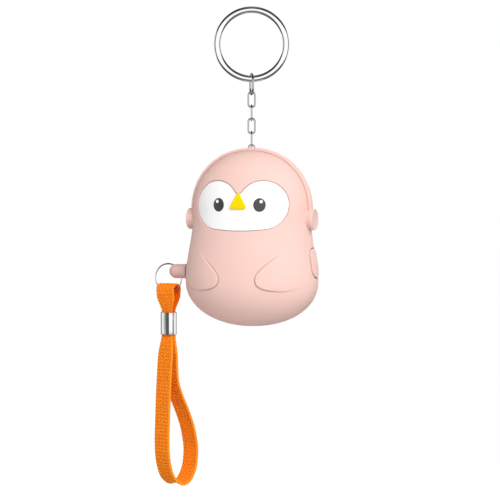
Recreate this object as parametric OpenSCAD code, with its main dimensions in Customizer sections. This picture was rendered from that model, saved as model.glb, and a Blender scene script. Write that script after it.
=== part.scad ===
// Personal safety alarm: a penguin in headphones that hangs from a key ring, with a pull pin on a wrist strap.
// Millimetres, +Z up. The origin is the centre of the key ring, the face looks along -Y.

/* [Body] */
// Width of the body across the belly
body_w = 51.4; // [40:0.2:70]
// Depth of the body from front to back
body_d = 33.4; // [26:0.2:50]
// Height of the body without the headband
body_h = 65.4; // [50:0.1:90]
// Width of the head at the ears
head_w = 45.6; // [36:0.2:60]
// Height of the widest part of the belly above the base
belly_z = 16.9; // [12:0.1:24]
// Height where the flare of the belly ends
waist_z = 41; // [32:0.5:52]
// Height where the dome of the head starts
dome_z = 43.4; // [36:0.1:56]
// How full the rounded ends are, 2 for a plain ellipse
fullness = 2.1; // [2:0.05:3]
// Wall thickness of the two shells
wall = 2; // [1.4:0.1:3]
// Gap between curved faces that lie on each other
fit_gap = 0.03; // [0.01:0.01:0.2]

/* [Face] */
// Radius of the two round lobes of the face
lobe_r = 8.95; // [6:0.05:12]
// Distance of each lobe's centre from the middle
lobe_x = 9; // [5:0.1:12]
// Height of the lobes' centres above the base
lobe_z = 45.4; // [36:0.1:56]
// Height of the notch between the lobes
notch_z = 49.45; // [40:0.05:58]
// Height of the chin line
chin_z = 35.95; // [28:0.05:42]
// How deep the face sits below the body's surface
face_inset = 0.5; // [0.1:0.05:0.8]
// Thickness of the face plate
face_t = 0.9; // [0.5:0.05:2]
// Width of the ledge that the face plate lies on
face_ledge = 1.2; // [0.6:0.1:3]
// Gap around the face plate
face_gap = 0.08; // [0.03:0.01:0.3]
// Distance of each eye's centre from the middle
eye_x = 8; // [5:0.1:12]
// Height of the eyes above the base
eye_z = 45.45; // [36:0.05:56]
// Width of an eye
eye_w = 4.5; // [2:0.05:8]
// Height of an eye
eye_h = 5.05; // [2:0.05:8]
// Diameter of the white spot in an eye
glint_d = 1.2; // [0.5:0.1:2.5]
// Distance of the spot from the eye's centre, outward
glint_x = 0.6; // [0:0.05:2]
// Distance of the spot above the eye's centre
glint_z = 1.25; // [0:0.05:3]
// Width of the beak at its base, before its corners are rounded
beak_w = 7.1; // [4:0.1:10]
// Height of the beak, before its corners are rounded
beak_h = 6.6; // [4:0.1:10]
// Height of the beak's base line above the body's base
beak_z = 43.95; // [36:0.05:56]
// Corner radius of the beak
beak_r = 0.7; // [0.3:0.05:1]
// How far the beak stands above the body's surface
beak_rise = 0.3; // [0:0.05:2]

/* [Headphones] */
// Width of the headband from front to back
band_w = 3; // [2.9:0.1:14]
// How far the headband stands above the head
band_rise = 1; // [0.3:0.05:2]
// Diameter of the ear cups
cup_d = 7.9; // [5:0.1:14]
// Diameter of the inner step of the ear cups
cup_neck_d = 7.3; // [4:0.1:13]
// Distance of the ear cups' outer faces from the middle
cup_x = 25; // [22:0.1:34]
// Thickness of the outer disc of an ear cup
cup_t = 1.3; // [0.6:0.1:3]
// Height of the ear cups' centres above the base
cup_z = 40; // [30:0.1:50]

/* [Wings] */
// How far a wing is pushed out of the body
wing_rise = 1.05; // [0.2:0.05:2]
// Direction of that push, turned from straight ahead to the middle, degrees
wing_turn = 42; // [0:1:60]
// Distance from the middle where a wing has melted into the side
wing_end = 21; // [16:0.1:24]

/* [Light button] */
// Height of the button's pill shape
button_h = 10.8; // [6:0.1:18]
// Width of the button's pill shape
button_w = 6.6; // [4:0.1:12]
// Height of the button's centre above the base
button_z = 23.9; // [14:0.1:34]
// Gap around the button
button_gap = 0.3; // [0.1:0.05:0.6]
// How far the button stands above the body
button_rise = 0.35; // [0:0.05:1.5]
// Width of the rim that keeps the button in
button_rim = 1; // [0.5:0.1:2]
// Travel of the button
button_travel = 0.6; // [0.2:0.1:1.5]

/* [Pull pin] */
// Height of the pin's axis above the base
pin_z = 20; // [12:0.1:30]
// Diameter of the pin's grip
grip_d = 5.4; // [4:0.1:9]
// How far the grip stands out from the side of the body
grip_out = 7.3; // [5:0.1:14]
// Diameter of the curved hole for the ring in the grip
grip_hole_d = 1.3; // [0.9:0.1:2]
// Diameter of the steel pin
pin_d = 2.5; // [1.5:0.1:4]
// Distance of the steel pin's inner end from the middle
pin_end_x = 9.8; // [4:0.1:18]
// Running gap around the steel pin
pin_gap = 0.25; // [0.1:0.05:0.5]

/* [Pin ring] */
// Outer diameter of the small split ring
pin_ring_od = 11.2; // [8:0.1:16]
// Radial width of its wire
pin_ring_w = 0.55; // [0.4:0.05:1.2]
// Thickness of its two coils together
pin_ring_t = 0.6; // [0.4:0.05:2]
// Distance of its centre beyond the grip's tip
pin_ring_out = 0.6; // [0:0.1:2]
// Distance of its centre below the pin's axis
pin_ring_down = 2.6; // [0:0.1:5]

/* [Wrist strap] */
// Width of the woven strap
strap_w = 7.6; // [5:0.1:14]
// Thickness of the woven strap
strap_t = 1.1; // [0.6:0.1:2]
// Inner radius of the strap's fold over the ring
fold_r = 1.9; // [1:0.1:4]
// Height of the fold's bend, less for a flatter one
fold_rise = 1.5; // [1.2:0.1:3]
// Gap between the strap and the ring it hangs on
fold_gap = 0.15; // [0.05:0.05:0.5]
// Turn of the fold about the vertical, degrees
fold_turn = -8; // [-45:1:45]
// Turn of the hanging loop about the vertical, degrees
loop_turn = -24; // [-60:1:60]
// Turn of the ferrule about the vertical, degrees
ferrule_turn = -14; // [-60:1:60]
// Width of the ferrule
ferrule_w = 6.2; // [4:0.1:12]
// Depth of the ferrule
ferrule_d = 4.6; // [3:0.1:9]
// Height of the ferrule
ferrule_h = 8.5; // [4:0.1:16]
// Wall thickness of the ferrule
ferrule_t = 0.4; // [0.2:0.05:1]
// Height of the ferrule's top above the body's base
ferrule_z = 4.4; // [0:0.1:12]

/* [Chain] */
// Outer diameter of the key ring
ring_od = 28; // [20:1:40]
// Radial width of the key ring's wire
ring_w = 2.4; // [1.5:0.1:4]
// Thickness of the key ring's two coils together
ring_t = 1.7; // [1:0.1:4]
// Length of the first link
link1_l = 8.3; // [6:0.1:14]
// Width of the first link
link1_w = 5.8; // [4:0.1:9]
// Wire diameter of the first link
link1_wire = 0.8; // [0.5:0.05:1.5]
// Length of the other links
link_l = 6.3; // [4:0.1:12]
// Width of the other links
link_w = 3.1; // [2:0.1:6]
// Wire diameter of the other links
link_wire = 0.65; // [0.4:0.05:1.5]
// Play between one link and the next
link_gap = 0.1; // [0.03:0.01:0.4]
// Turn of the key ring and chain about the vertical, degrees
chain_turn = 20; // [-45:1:45]
// Further turn of the first link, degrees
link1_turn = 12; // [-30:1:30]
// Width of the eyelet in the head
eyelet_w = 2.8; // [2:0.1:6]
// Wire diameter of the eyelet
eyelet_wire = 0.6; // [0.4:0.05:1.2]
// How far the eyelet stands above the headband
eyelet_rise = 1.5; // [1.4:0.05:3]

/* [Inside] */
// Width of the circuit board
board_w = 33; // [20:0.5:38]
// Height of the circuit board
board_h = 42; // [24:0.5:46]
// Thickness of the circuit board
board_t = 1.2; // [0.6:0.1:2]
// Distance of the board's rear face in front of the parting plane
board_y = 3; // [2:0.1:6]
// Height of the board's lower edge above the base
board_z = 10.8; // [9:0.1:16]
// Diameter of a button cell
cell_d = 20; // [12:0.1:24]
// Thickness of a button cell
cell_t = 3.2; // [1.6:0.1:5]
// Distance of the cells from the middle, toward the button
cell_x = 2; // [-6:0.5:6]
// Height of the cells' centre above the base
cell_z = 24; // [18:0.5:36]
// Diameter of the siren's brass plate
siren_d = 27; // [15:0.5:32]
// Depth of the siren's centre below the top of the head
siren_down = 22.7; // [16:0.1:32]
// Distance of the siren's seat behind the parting plane
siren_y = 8.6; // [5:0.1:11]
// Number of sound slots in the back
slots = 5; // [3:2:9]
// Width of a sound slot
slot_w = 1.5; // [0.8:0.1:3]
// Distance from one sound slot to the next
slot_step = 3.1; // [2:0.1:6]
// Diameter of the field of sound slots
slot_field = 18; // [8:0.5:24]
// Shank diameter of the case screws
screw_d = 1.9; // [1.4:0.1:3]
// Length of the case screws' shanks
screw_l = 10; // [6:0.5:14]
// Head diameter of the case screws
screw_head_d = 3.6; // [2.5:0.1:6]
// Distance of the screws' seats behind the parting plane
screw_y = 5.5; // [3:0.1:8]
// Gap around a screw
screw_gap = 0.1; // [0.03:0.01:0.3]

/* [Hidden] */
$fn = 72;

// heights along the chain, from the key ring's centre down to the base of the body
link1_top = -(ring_od / 2 - ring_w) + 1.5 * link_gap + link1_wire;
link2_top = link1_top - link1_l + link1_wire + link_gap + link_wire;
link_pitch = link_l - 2 * link_wire - link_gap;
eyelet_top = link2_top - 3 * link_pitch - link_l + link_wire + link_gap + eyelet_wire;
body_z = eyelet_top - eyelet_rise - band_rise - body_h;

// where the pull pin's parts stand, from the middle of the body
big = 120;
side_x = body_w / 2;
grip_base_x = side_x + 0.15;
grip_tip_x = side_x + grip_out;
ring_x = grip_tip_x + pin_ring_out;
ring_z = pin_z - pin_ring_down;

// the strap's route in its own plane: distance behind the ferrule's axis, height above the body's base
tuck_w = ferrule_w / 2 - ferrule_t - 0.35;
tuck_t = 0.66;
ply = tuck_t + 0.07;
ring_bend = sqrt(max(pow(pin_ring_od / 2 - pin_ring_w, 2) - strap_w * strap_w / 4, 0));
fold_z = ring_z - ring_bend + fold_gap + strap_t / 2 - fold_rise;
fold_end = ferrule_z - ferrule_h / 2 + 0.05;
loop_end = fold_end - 0.3;
mouth_z = ferrule_z - ferrule_h;
loop_route = [
  [-ply, loop_end], [-0.8, mouth_z], [-1.3, -8.5], [-2, -16], [-2.7, -25.5], [-3.2, -36], [-3.5, -45],
  [-2.9, -52], [-1, -57.6], [1.9, -60.6], [5, -61.5], [8.2, -60], [10.7, -55.8], [11.6, -50.2], [11.2, -45.5],
  [9.6, -39.5], [6.7, -33], [3.3, -26.5], [1.4, -20.5], [0.9, -11], [0.8, mouth_z], [ply, loop_end]
];

// outline of the right wing from its shoulder round the tip to the side: distance from the middle, height
wing_route = [
  [22.2, 32.5], [17.5, 29.1], [14, 26.1], [10.5, 23.2], [8.1, 20.7], [7.05, 18.3], [7.8, 15.9], [10.3, 14.5],
  [13.8, 13.85], [17.4, 13.7], [20.2, 14.4], [23, 15.9]
];

// rounded ends of the body's outline, and the flare between them
base_steps = 8;
flare_steps = 5;
dome_steps = 10;

screw_x = body_w / 2 - 7.7;
screw_spots = [[-screw_x, 33], [screw_x, 33], [0, 7.2]];
post_x = board_w / 2 - 4;
post_low = board_z + 4.2;
post_high = board_z + board_h - 3.8;
post_spots = [[-post_x, post_low], [post_x, post_low], [-post_x, post_high], [post_x, post_high]];
boss_d = screw_d + 2.7;
post_d = 3.2;

// what stands on the board's rear face, and the two lights on its front
holder_rim = 1.2;
holder_floor = 1;
cells_y = -board_y + holder_floor;
cell_gap = 0.02;
clip_t = 0.4;
clip_w = 5;
clip_foot = 1;
button_depth = 6.3;
button_in = side_x - button_depth;
switch_x = cell_x + cell_d / 2 + holder_rim + 0.3;
switch_l = 3;
switch_back = board_y + 3;
switch_h = 6;
plunger_d = 3;
leaf_t = 0.24;
leaf_l = 8.2;
leaf_w = 3;
leaf_foot = 0.4;
leaf_room = 0.1;
leaf_cover = 2.3;
leaf_z = pin_d / 2 + 0.3 + leaf_t / 2;
siren_z = body_h - siren_down;
coil_d = 8;
coil_core_d = 5.6;
coil_h = 5.8;
coil_rim = 0.8;
chip_size = [5, 1.5, 4];
spots_z = board_z + board_h - 9.8;
coil_spot = [-5, spots_z];
chip_spot = [4, spots_z - chip_size[2] / 2];
gasket_t = 0.4;
plate_t = 0.3;
ceramic_t = 0.25;
siren_rim = 1.5;
light_size = [3.5, 1.2, 2.8];
lens_d = 2.2;
lens_t = 0.5;
inlay = 0.4;
glint_inlay = 0.15;

function up(v, p) = v <= 0 ? 0 : pow(v, p);
function ease(v) = v <= 0 ? 0 : v >= 1 ? 1 : v * v * (3 - 2 * v);
function arc(c, r, a0, a1, n) =
  [for (i = [0 : n]) c + r * [cos(a0 + (a1 - a0) * i / n), sin(a0 + (a1 - a0) * i / n)]];
function mirrored(points) = [for (i = [len(points) - 1 : -1 : 0]) [-points[i][0], points[i][1]]];

// outline of the body from the base up to the crown, moved in by an inset
function body_points(inset) =
  let (belly = body_w / 2 - inset, head = head_w / 2 - inset, p = 2 / fullness,
       sole = belly_z - inset, crown = body_h - dome_z - inset)
  concat(
    [for (i = [0 : base_steps]) let (t = 90 * i / base_steps)
      [belly * up(sin(t), p), belly_z - sole * up(cos(t), p)]],
    [for (i = [1 : flare_steps]) let (s = i / flare_steps)
      [head + (belly - head) * (1 + cos(180 * s)) / 2, belly_z + (waist_z - belly_z) * s]],
    [for (i = [0 : dome_steps]) let (t = 90 * i / dome_steps)
      [head * up(cos(t), p), dome_z + crown * up(sin(t), p)]]
  );

// two round lobes with a filleted notch above and a gently curved chin below
function face_points(inset) =
  let (r = lobe_r - inset, h = notch_z - inset - lobe_z, g = lobe_z - chin_z - inset,
       notch_r = (lobe_x * lobe_x + h * h - r * r) / (2 * (r - h)),
       chin_r = (lobe_x * lobe_x + g * g - r * r) / (2 * (g - r)),
       notch_c = [0, notch_z - inset + notch_r], chin_c = [0, lobe_z - g + chin_r],
       notch_a = atan2(notch_c[1] - lobe_z, -lobe_x), chin_a = atan2(lobe_z - chin_c[1], lobe_x),
       right = arc([lobe_x, lobe_z], r, chin_a, notch_a, 22))
  concat(right,
    [for (q = arc(notch_c, notch_r, notch_a - 180, -notch_a, 6)) if (abs(q[0]) < 1.3) q],
    mirrored(right));

function beak_points() =
  let (r = beak_r, lean = atan2(beak_h, beak_w / 2), in = r / tan(lean / 2))
  concat(arc([beak_w / 2 - in, beak_z + r], r, -90, 90 - lean, 5),
         arc([0, beak_z + beak_h - r / cos(lean)], r, 90 - lean, 90 + lean, 5),
         arc([-beak_w / 2 + in, beak_z + r], r, 90 + lean, 270, 5));

function oval(w, h, power, n) =
  [for (i = [0 : n - 1]) let (t = 360 * i / n)
    [sign(cos(t)) * w / 2 * up(abs(cos(t)), 2 / power), sign(sin(t)) * h / 2 * up(abs(sin(t)), 2 / power)]];

// route of the fold: down inside the ferrule on one side, over the ring and back
function fold_half(side, n) =
  [for (i = [0 : n]) let (z = fold_end + (fold_z - fold_end) * i / n)
    [side * (ply + (fold_r + strap_t / 2 - ply) * ease((z - ferrule_z) / (fold_z - ferrule_z))), z]];
function fold_route() =
  concat(fold_half(-1, 9), [for (i = [1 : 9]) let (a = 180 - 18 * i)
    [(fold_r + strap_t / 2) * cos(a), fold_z + fold_rise * sin(a)]],
    [for (i = [9 : -1 : 0]) fold_half(1, 9)[i]]);

// a smooth curve through points, each stretch cut into n parts
function spline(p, n) =
  concat([for (k = [0 : len(p) - 2]) for (i = [0 : n - 1])
    let (t = i / n, a = p[max(k - 1, 0)], b = p[k], c = p[k + 1], d = p[min(k + 2, len(p) - 1)])
      0.5 * (2 * b + (c - a) * t + (2 * a - 5 * b + 4 * c - d) * t * t + (3 * b - a - 3 * c + d) * t * t * t)],
    [p[len(p) - 1]]);

module body_form(inset) {
  scale([1, (body_d / 2 - inset) / (body_w / 2 - inset), 1]) rotate_extrude() polygon(body_points(inset));
}

// a prism from an outline in the front view, along the depth
module through(from, to) {
  translate([0, to, 0]) rotate([90, 0, 0]) linear_extrude(to - from) children();
}

// the part of an outline's prism between two depths under the body's front
module under_front(top, bottom) {
  difference() {
    intersection() {
      through(-big / 2, 0) children();
      translate([0, top, 0]) body_form(0);
    }
    translate([0, bottom, 0]) body_form(0);
  }
}

module along_x(from, to, z, d) {
  translate([from, 0, z]) rotate([0, 90, 0]) cylinder(d = d, h = to - from);
}

module along_y(from, to, x, z, d) {
  translate([x, to, z]) rotate([90, 0, 0]) cylinder(d = d, h = to - from);
}

// a pill shape standing on end, along x
module pill(from, to, w, h) {
  translate([from, 0, button_z]) rotate([90, 0, 90]) linear_extrude(to - from)
    polygon(concat(arc([0, (h - w) / 2], w / 2, 0, 180, 14), arc([0, (w - h) / 2], w / 2, 180, 360, 14)));
}

// a hanging link with its top at z = 0, in the x-z plane
module link(length, width, wire) {
  r = (width - wire) / 2;
  straight = length - width;
  translate([0, 0, -length / 2]) for (s = [-1, 1]) {
    translate([s * r, 0, 0]) cylinder(d = wire, h = straight, center = true);
    translate([0, 0, s * straight / 2]) rotate([s * 90, 0, 0])
      rotate_extrude(angle = 180) translate([r, 0]) circle(d = wire);
  }
}

// a ring of two coils with domed sides: the front one is whole, the rear one laps it over a part of the turn
module split_ring(od, w, t, start, lap) {
  section = [for (i = [0 : 12]) oval(w, t, 2.6, 24)[i]];
  rotate([90, 0, 0]) {
    rotate_extrude() translate([(od - w) / 2, 0]) polygon(section);
    mirror([0, 0, 1]) rotate(start) rotate_extrude(angle = lap) translate([(od - w) / 2, 0]) polygon(section);
  }
}

// a flat strap along a route in the y-z plane, narrowed and turned in line with the ferrule where it enters it
module strap(route, near, far, turn) {
  n = len(route);
  rings = [for (i = [0 : n - 1]) let (
    d = route[min(i + 1, n - 1)] - route[max(i - 1, 0)], m = [-d[1], d[0]] / norm(d),
    k = ease((route[i][1] - near) / (far - near)),
    w = tuck_w + (strap_w / 2 - tuck_w) * k, t = tuck_t + (strap_t / 2 - tuck_t) * k,
    a = ferrule_turn + (turn - ferrule_turn) * k)
    for (q = [[w, t / 2], [w - t / 2, t], [t / 2 - w, t], [-w, t / 2], [-w, -t / 2], [t / 2 - w, -t],
              [w - t / 2, -t], [w, -t / 2]])
      let (y = route[i][0] + m[0] * q[1])
        [q[0] * cos(a) - y * sin(a), q[0] * sin(a) + y * cos(a), route[i][1] + m[1] * q[1]]];
  sides = [for (i = [0 : n - 2]) for (j = [0 : 7]) for (f = [
    [8 * i + j, 8 * i + (j + 1) % 8, 8 * i + 8 + (j + 1) % 8],
    [8 * i + j, 8 * i + 8 + (j + 1) % 8, 8 * i + 8 + j]]) f];
  ends = [[for (j = [7 : -1 : 0]) j], [for (j = [0 : 7]) 8 * (n - 1) + j]];
  polyhedron(rings, concat(sides, ends), convexity = 8);
}

module on_body() {
  translate([0, 0, body_z]) children();
}

module on_strap() {
  translate([-ring_x, 0, body_z]) children();
}

module on_chain(top, turn) {
  rotate(chain_turn + turn) translate([0, 0, top]) children();
}

// openings that both shells share along the parting plane
module shell_openings() {
  pill(side_x - 12, side_x + 5, button_w + 2 * button_gap, button_h + 2 * button_gap);
  along_x(-side_x - 5, -side_x + 8, pin_z, pin_d + 2 * pin_gap);
  translate([0, 0, body_h - wall - 3]) cylinder(d = eyelet_w + 2 * fit_gap, h = 10);
}

module half_shell(side) {
  intersection() {
    difference() {
      body_form(0);
      body_form(wall);
    }
    translate([-big / 2, side < 0 ? -big / 2 : 0, -1]) cube([big, big / 2, big]);
  }
}

module wing(side) {
  push = wing_rise * [-side * sin(wing_turn), -cos(wing_turn), 0];
  difference() {
    intersection() {
      through(-big / 2, -2) intersection() {
        polygon([for (q = spline(wing_route, 3)) [side * q[0], q[1]]]);
        translate([side < 0 ? -wing_end : 0, 0]) square([wing_end, body_h]);
      }
      translate(push) body_form(0);
    }
    body_form(wall / 2);
  }
}

module front_shell() {
  color("#f0c8be") on_body() difference() {
    union() {
      half_shell(-1);
      wing(-1);
      wing(1);
      intersection() {
        union() {
          for (p = screw_spots) along_y(-big / 4, 0, p[0], p[1], boss_d);
          for (p = post_spots) along_y(-big / 4, -board_y - board_t, p[0], p[1], post_d);
        }
        body_form(wall / 2);
      }
    }
    through(-big / 2, 0) polygon(face_points(face_ledge));
    under_front(-5, face_inset + face_t + fit_gap) polygon(face_points(0));
    under_front(-5, face_inset + inlay) polygon(beak_points());
    for (p = screw_spots) along_y(-screw_l + screw_y - 0.5, 1, p[0], p[1], screw_d + 0.05);
    shell_openings();
  }
}

module rear_shell() {
  color("#f0c8be") on_body() difference() {
    union() {
      half_shell(1);
      intersection() {
        union() {
          for (p = screw_spots) along_y(0, big / 4, p[0], p[1], screw_head_d + 2.2);
          difference() {
            along_y(siren_y, big / 4, 0, siren_z, siren_d + 1);
            along_y(siren_y - 1, big / 4, 0, siren_z, siren_d - 2 * siren_rim);
          }
        }
        body_form(wall / 2);
      }
    }
    for (p = screw_spots) {
      along_y(-1, big / 4, p[0], p[1], screw_d + 2 * screw_gap);
      along_y(screw_y, big / 4, p[0], p[1], screw_head_d + 4 * screw_gap);
    }
    through(1, big / 2) for (i = [0 : slots - 1]) let (x = (i - (slots - 1) / 2) * slot_step,
        h = sqrt(slot_field * slot_field / 4 - x * x) - slot_w / 2)
      polygon(concat(arc([x, siren_z + h], slot_w / 2, 0, 180, 8),
                     arc([x, siren_z - h], slot_w / 2, 180, 360, 8)));
    shell_openings();
  }
}

module headband() {
  color("#f0c8be") on_body() difference() {
    intersection() {
      body_form(-band_rise);
      translate([-big / 2, -band_w / 2, cup_z]) cube([big, band_w, big]);
    }
    body_form(-fit_gap);
    for (s = [-1, 1]) along_x(s * side_x - 8, s * side_x + 8, cup_z, cup_d + 2 * fit_gap);
    rotate(chain_turn) for (s = [-1, 1]) translate([s * (eyelet_w - eyelet_wire) / 2, 0, body_h - 2])
      cylinder(d = eyelet_wire + 2 * fit_gap, h = 6);
  }
}

module ear_cup(side) {
  color("#f0c8be") on_body() difference() {
    translate([0, 0, cup_z]) rotate([0, side * 90, 0]) rotate_extrude()
      polygon([[0, head_w / 2 - 2], [cup_neck_d / 2, head_w / 2 - 2], [cup_neck_d / 2, cup_x - cup_t],
               [cup_d / 2, cup_x - cup_t], [cup_d / 2, cup_x - 0.35], [cup_d / 2 - 0.35, cup_x], [0, cup_x]]);
    body_form(-fit_gap);
  }
}

module left_ear_cup() {
  ear_cup(-1);
}

module right_ear_cup() {
  ear_cup(1);
}

module face_plate() {
  color("white") on_body() difference() {
    under_front(face_inset, face_inset + face_t) polygon(face_points(face_gap));
    under_front(-5, face_inset + inlay) {
      for (s = [-1, 1]) translate([s * eye_x, eye_z]) polygon(oval(eye_w, eye_h, 2, 28));
      polygon(beak_points());
    }
  }
}

module eye(side) {
  color("#3c3c3e") on_body() difference() {
    under_front(face_inset - 0.04, face_inset + inlay - fit_gap)
      translate([side * eye_x, eye_z]) polygon(oval(eye_w - 2 * fit_gap, eye_h - 2 * fit_gap, 2, 28));
    under_front(-5, face_inset + glint_inlay)
      translate([side * (eye_x + glint_x), eye_z + glint_z]) polygon(oval(glint_d, glint_d, 2, 20));
  }
}

module left_eye() {
  eye(-1);
}

module right_eye() {
  eye(1);
}

module eye_glints() {
  color("white") on_body() for (s = [-1, 1])
    under_front(face_inset - 0.06, face_inset + glint_inlay - fit_gap)
      translate([s * (eye_x + glint_x), eye_z + glint_z])
        polygon(oval(glint_d - 2 * fit_gap, glint_d - 2 * fit_gap, 2, 20));
}

module beak() {
  color("#ffde00") on_body() under_front(-beak_rise, face_inset + inlay - fit_gap)
    offset(delta = -fit_gap) polygon(beak_points());
}

module light_button() {
  color("#f0c8be") on_body() {
    intersection() {
      pill(button_in + button_rim / 2, side_x + button_depth, button_w, button_h);
      body_form(-button_rise);
    }
    intersection() {
      pill(button_in, side_x, button_w + 2 * button_rim, button_h + 2 * button_rim);
      body_form(wall + button_gap);
    }
  }
}

module pull_pin_grip() {
  r = grip_d / 2;
  color("#f0c8be") on_body() difference() {
    translate([0, 0, pin_z]) rotate([0, -90, 0]) rotate_extrude()
      polygon(concat([[0, grip_base_x], [r + 0.15, grip_base_x],
                      [r + 0.15, grip_base_x + 0.6], [r, grip_base_x + 0.7]],
                     arc([0, grip_tip_x - r], r, 0, 90, 12)));
    translate([-ring_x, 0, ring_z]) rotate([90, 0, 0]) rotate_extrude()
      translate([(pin_ring_od - pin_ring_w) / 2, 0]) circle(d = grip_hole_d);
    along_x(-grip_base_x - 1.2, 0, pin_z, pin_d + 2 * fit_gap);
  }
}

module pull_pin_shank() {
  color("silver") on_body() translate([0, 0, pin_z]) rotate([0, -90, 0]) rotate_extrude()
    polygon([[0, pin_end_x], [pin_d / 2 - 0.6, pin_end_x], [pin_d / 2, pin_end_x + 0.9],
             [pin_d / 2, grip_base_x + 1.2], [0, grip_base_x + 1.2]]);
}

module pin_ring() {
  color("silver") on_body() translate([-ring_x, 0, ring_z])
    split_ring(pin_ring_od, pin_ring_w, pin_ring_t, 186, 210);
}

module strap_fold() {
  color("#fa821e") on_strap() strap(fold_route(), ferrule_z, ferrule_z + 6, fold_turn);
}

module strap_loop() {
  color("#fa821e") on_strap() strap(spline(loop_route, 3), mouth_z, mouth_z - 9, loop_turn);
}

module strap_ferrule() {
  color("silver") on_strap() translate([0, 0, mouth_z]) rotate(ferrule_turn)
    linear_extrude(ferrule_h) difference() {
      polygon(oval(ferrule_w, ferrule_d, 3, 40));
      polygon(oval(ferrule_w - 2 * ferrule_t, ferrule_d - 2 * ferrule_t, 3, 40));
    }
}

module key_ring() {
  color("silver") rotate(chain_turn) split_ring(ring_od, ring_w, ring_t, 90, 346);
}

module chain_link_1() {
  color("silver") on_chain(link1_top, 90 + link1_turn) link(link1_l, link1_w, link1_wire);
}

module chain_link_2() {
  color("silver") on_chain(link2_top, 0) link(link_l, link_w, link_wire);
}

module chain_link_3() {
  color("silver") on_chain(link2_top - link_pitch, 90) link(link_l, link_w, link_wire);
}

module chain_link_4() {
  color("silver") on_chain(link2_top - 2 * link_pitch, 0) link(link_l, link_w, link_wire);
}

module chain_link_5() {
  color("silver") on_chain(link2_top - 3 * link_pitch, 90) link(link_l, link_w, link_wire);
}

module chain_eyelet() {
  r = (eyelet_w - eyelet_wire) / 2;
  foot_z = body_h - wall - 0.5;
  bend_z = body_h + band_rise + eyelet_rise - eyelet_w / 2;
  color("silver") on_chain(body_z, 0) {
    translate([0, 0, bend_z]) rotate([90, 0, 0])
      rotate_extrude(angle = 180) translate([r, 0]) circle(d = eyelet_wire);
    for (s = [-1, 1]) translate([s * r, 0, foot_z - 0.5]) cylinder(d = eyelet_wire, h = bend_z - foot_z + 0.5);
    translate([0, 0, foot_z - 1]) cylinder(d = eyelet_w + 2.2, h = 1);
  }
}

module circuit_board() {
  color("green") on_body() difference() {
    translate([-board_w / 2, -board_y - board_t, board_z]) cube([board_w, board_t, board_h]);
    for (p = screw_spots) along_y(-board_y - board_t - 1, 0, p[0], p[1], boss_d + 0.6);
  }
}

module cell_holder() {
  color("#202022") on_body() difference() {
    along_y(-board_y, cells_y + 1.3 * cell_t, cell_x, cell_z, cell_d + 2 * holder_rim);
    along_y(cells_y, cells_y + 4 * cell_t, cell_x, cell_z, cell_d + 0.3);
    translate([cell_x - 4, cells_y, cell_z]) cube([8, 4 * cell_t, cell_d]);
  }
}

module coin_cells() {
  color("silver") on_body() for (i = [0, 1]) let (y = cells_y + i * (cell_t + cell_gap))
    along_y(y, y + cell_t, cell_x, cell_z, cell_d);
}

module cell_clip() {
  top = cells_y + 2 * (cell_t + cell_gap);
  drop = cell_d / 2 + holder_rim + clip_foot;
  color("silver") on_body() translate([cell_x - clip_w / 2, 0, cell_z - drop]) {
    translate([0, top, 0]) cube([clip_w, clip_t, drop]);
    translate([0, -board_y, -clip_t]) cube([clip_w, top + board_y + clip_t, clip_t]);
  }
}

module siren_gasket() {
  color("#303030") on_body() difference() {
    along_y(siren_y - gasket_t, siren_y, 0, siren_z, siren_d);
    along_y(siren_y - 1, siren_y + 1, 0, siren_z, siren_d - 2 * siren_rim);
  }
}

module siren_plate() {
  y = siren_y - gasket_t;
  color("gold") on_body() along_y(y - plate_t, y, 0, siren_z, siren_d);
}

module siren_ceramic() {
  y = siren_y - gasket_t - plate_t;
  color("ivory") on_body() along_y(y - ceramic_t, y, 0, siren_z, siren_d - 8);
}

module siren_coil() {
  color("#b87333") on_body() {
    for (y = [0, coil_h - coil_rim])
      along_y(y - board_y, y - board_y + coil_rim, coil_spot[0], coil_spot[1], coil_d);
    along_y(-board_y, -board_y + coil_h, coil_spot[0], coil_spot[1], coil_core_d);
  }
}

module driver_chip() {
  color("#181818") on_body() translate([chip_spot[0], -board_y, chip_spot[1]]) cube(chip_size);
}

module face_lights() {
  y = -board_y - board_t;
  color("white") on_body() for (s = [-1, 1]) {
    translate([s * eye_x - light_size[0] / 2, y - light_size[1], eye_z - light_size[2] / 2]) cube(light_size);
    along_y(y - light_size[1] - lens_t, y - light_size[1], s * eye_x, eye_z, lens_d);
  }
}

module button_switch() {
  color("#181818") on_body() {
    translate([switch_x, -board_y, button_z - switch_h / 2]) cube([switch_l, switch_back, switch_h]);
    along_x(switch_x + switch_l, button_in - button_travel - fit_gap, button_z, plunger_d);
  }
}

module pin_switch() {
  color("#181818") on_body() difference() {
    translate([-pin_end_x - leaf_l - leaf_foot, -board_y, pin_z - leaf_z - leaf_cover])
      cube([leaf_l + 2 * leaf_foot, switch_back, 2 * (leaf_z + leaf_cover)]);
    translate([-pin_end_x - 1.5 * leaf_l, -leaf_w / 2 - leaf_room, pin_z - leaf_z - leaf_t / 2])
      cube([2 * leaf_l, leaf_w + 2 * leaf_room, 2 * leaf_z + leaf_t]);
  }
}

module switch_leaves() {
  color("gold") on_body() for (s = [-1, 1])
    translate([-pin_end_x - leaf_l, -leaf_w / 2, pin_z + s * leaf_z - leaf_t / 2]) cube([leaf_l, leaf_w, leaf_t]);
}

module case_screws() {
  color("silver") on_body() for (p = screw_spots) difference() {
    union() {
      along_y(screw_y - screw_l, screw_y + 0.2, p[0], p[1], screw_d);
      along_y(screw_y, screw_y + 1.4, p[0], p[1], screw_head_d);
    }
    for (a = [0, 90]) translate([p[0], screw_y + 1.4, p[1]]) rotate([0, a, 0]) cube([2, 1.4, 0.5], center = true);
  }
}

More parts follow.
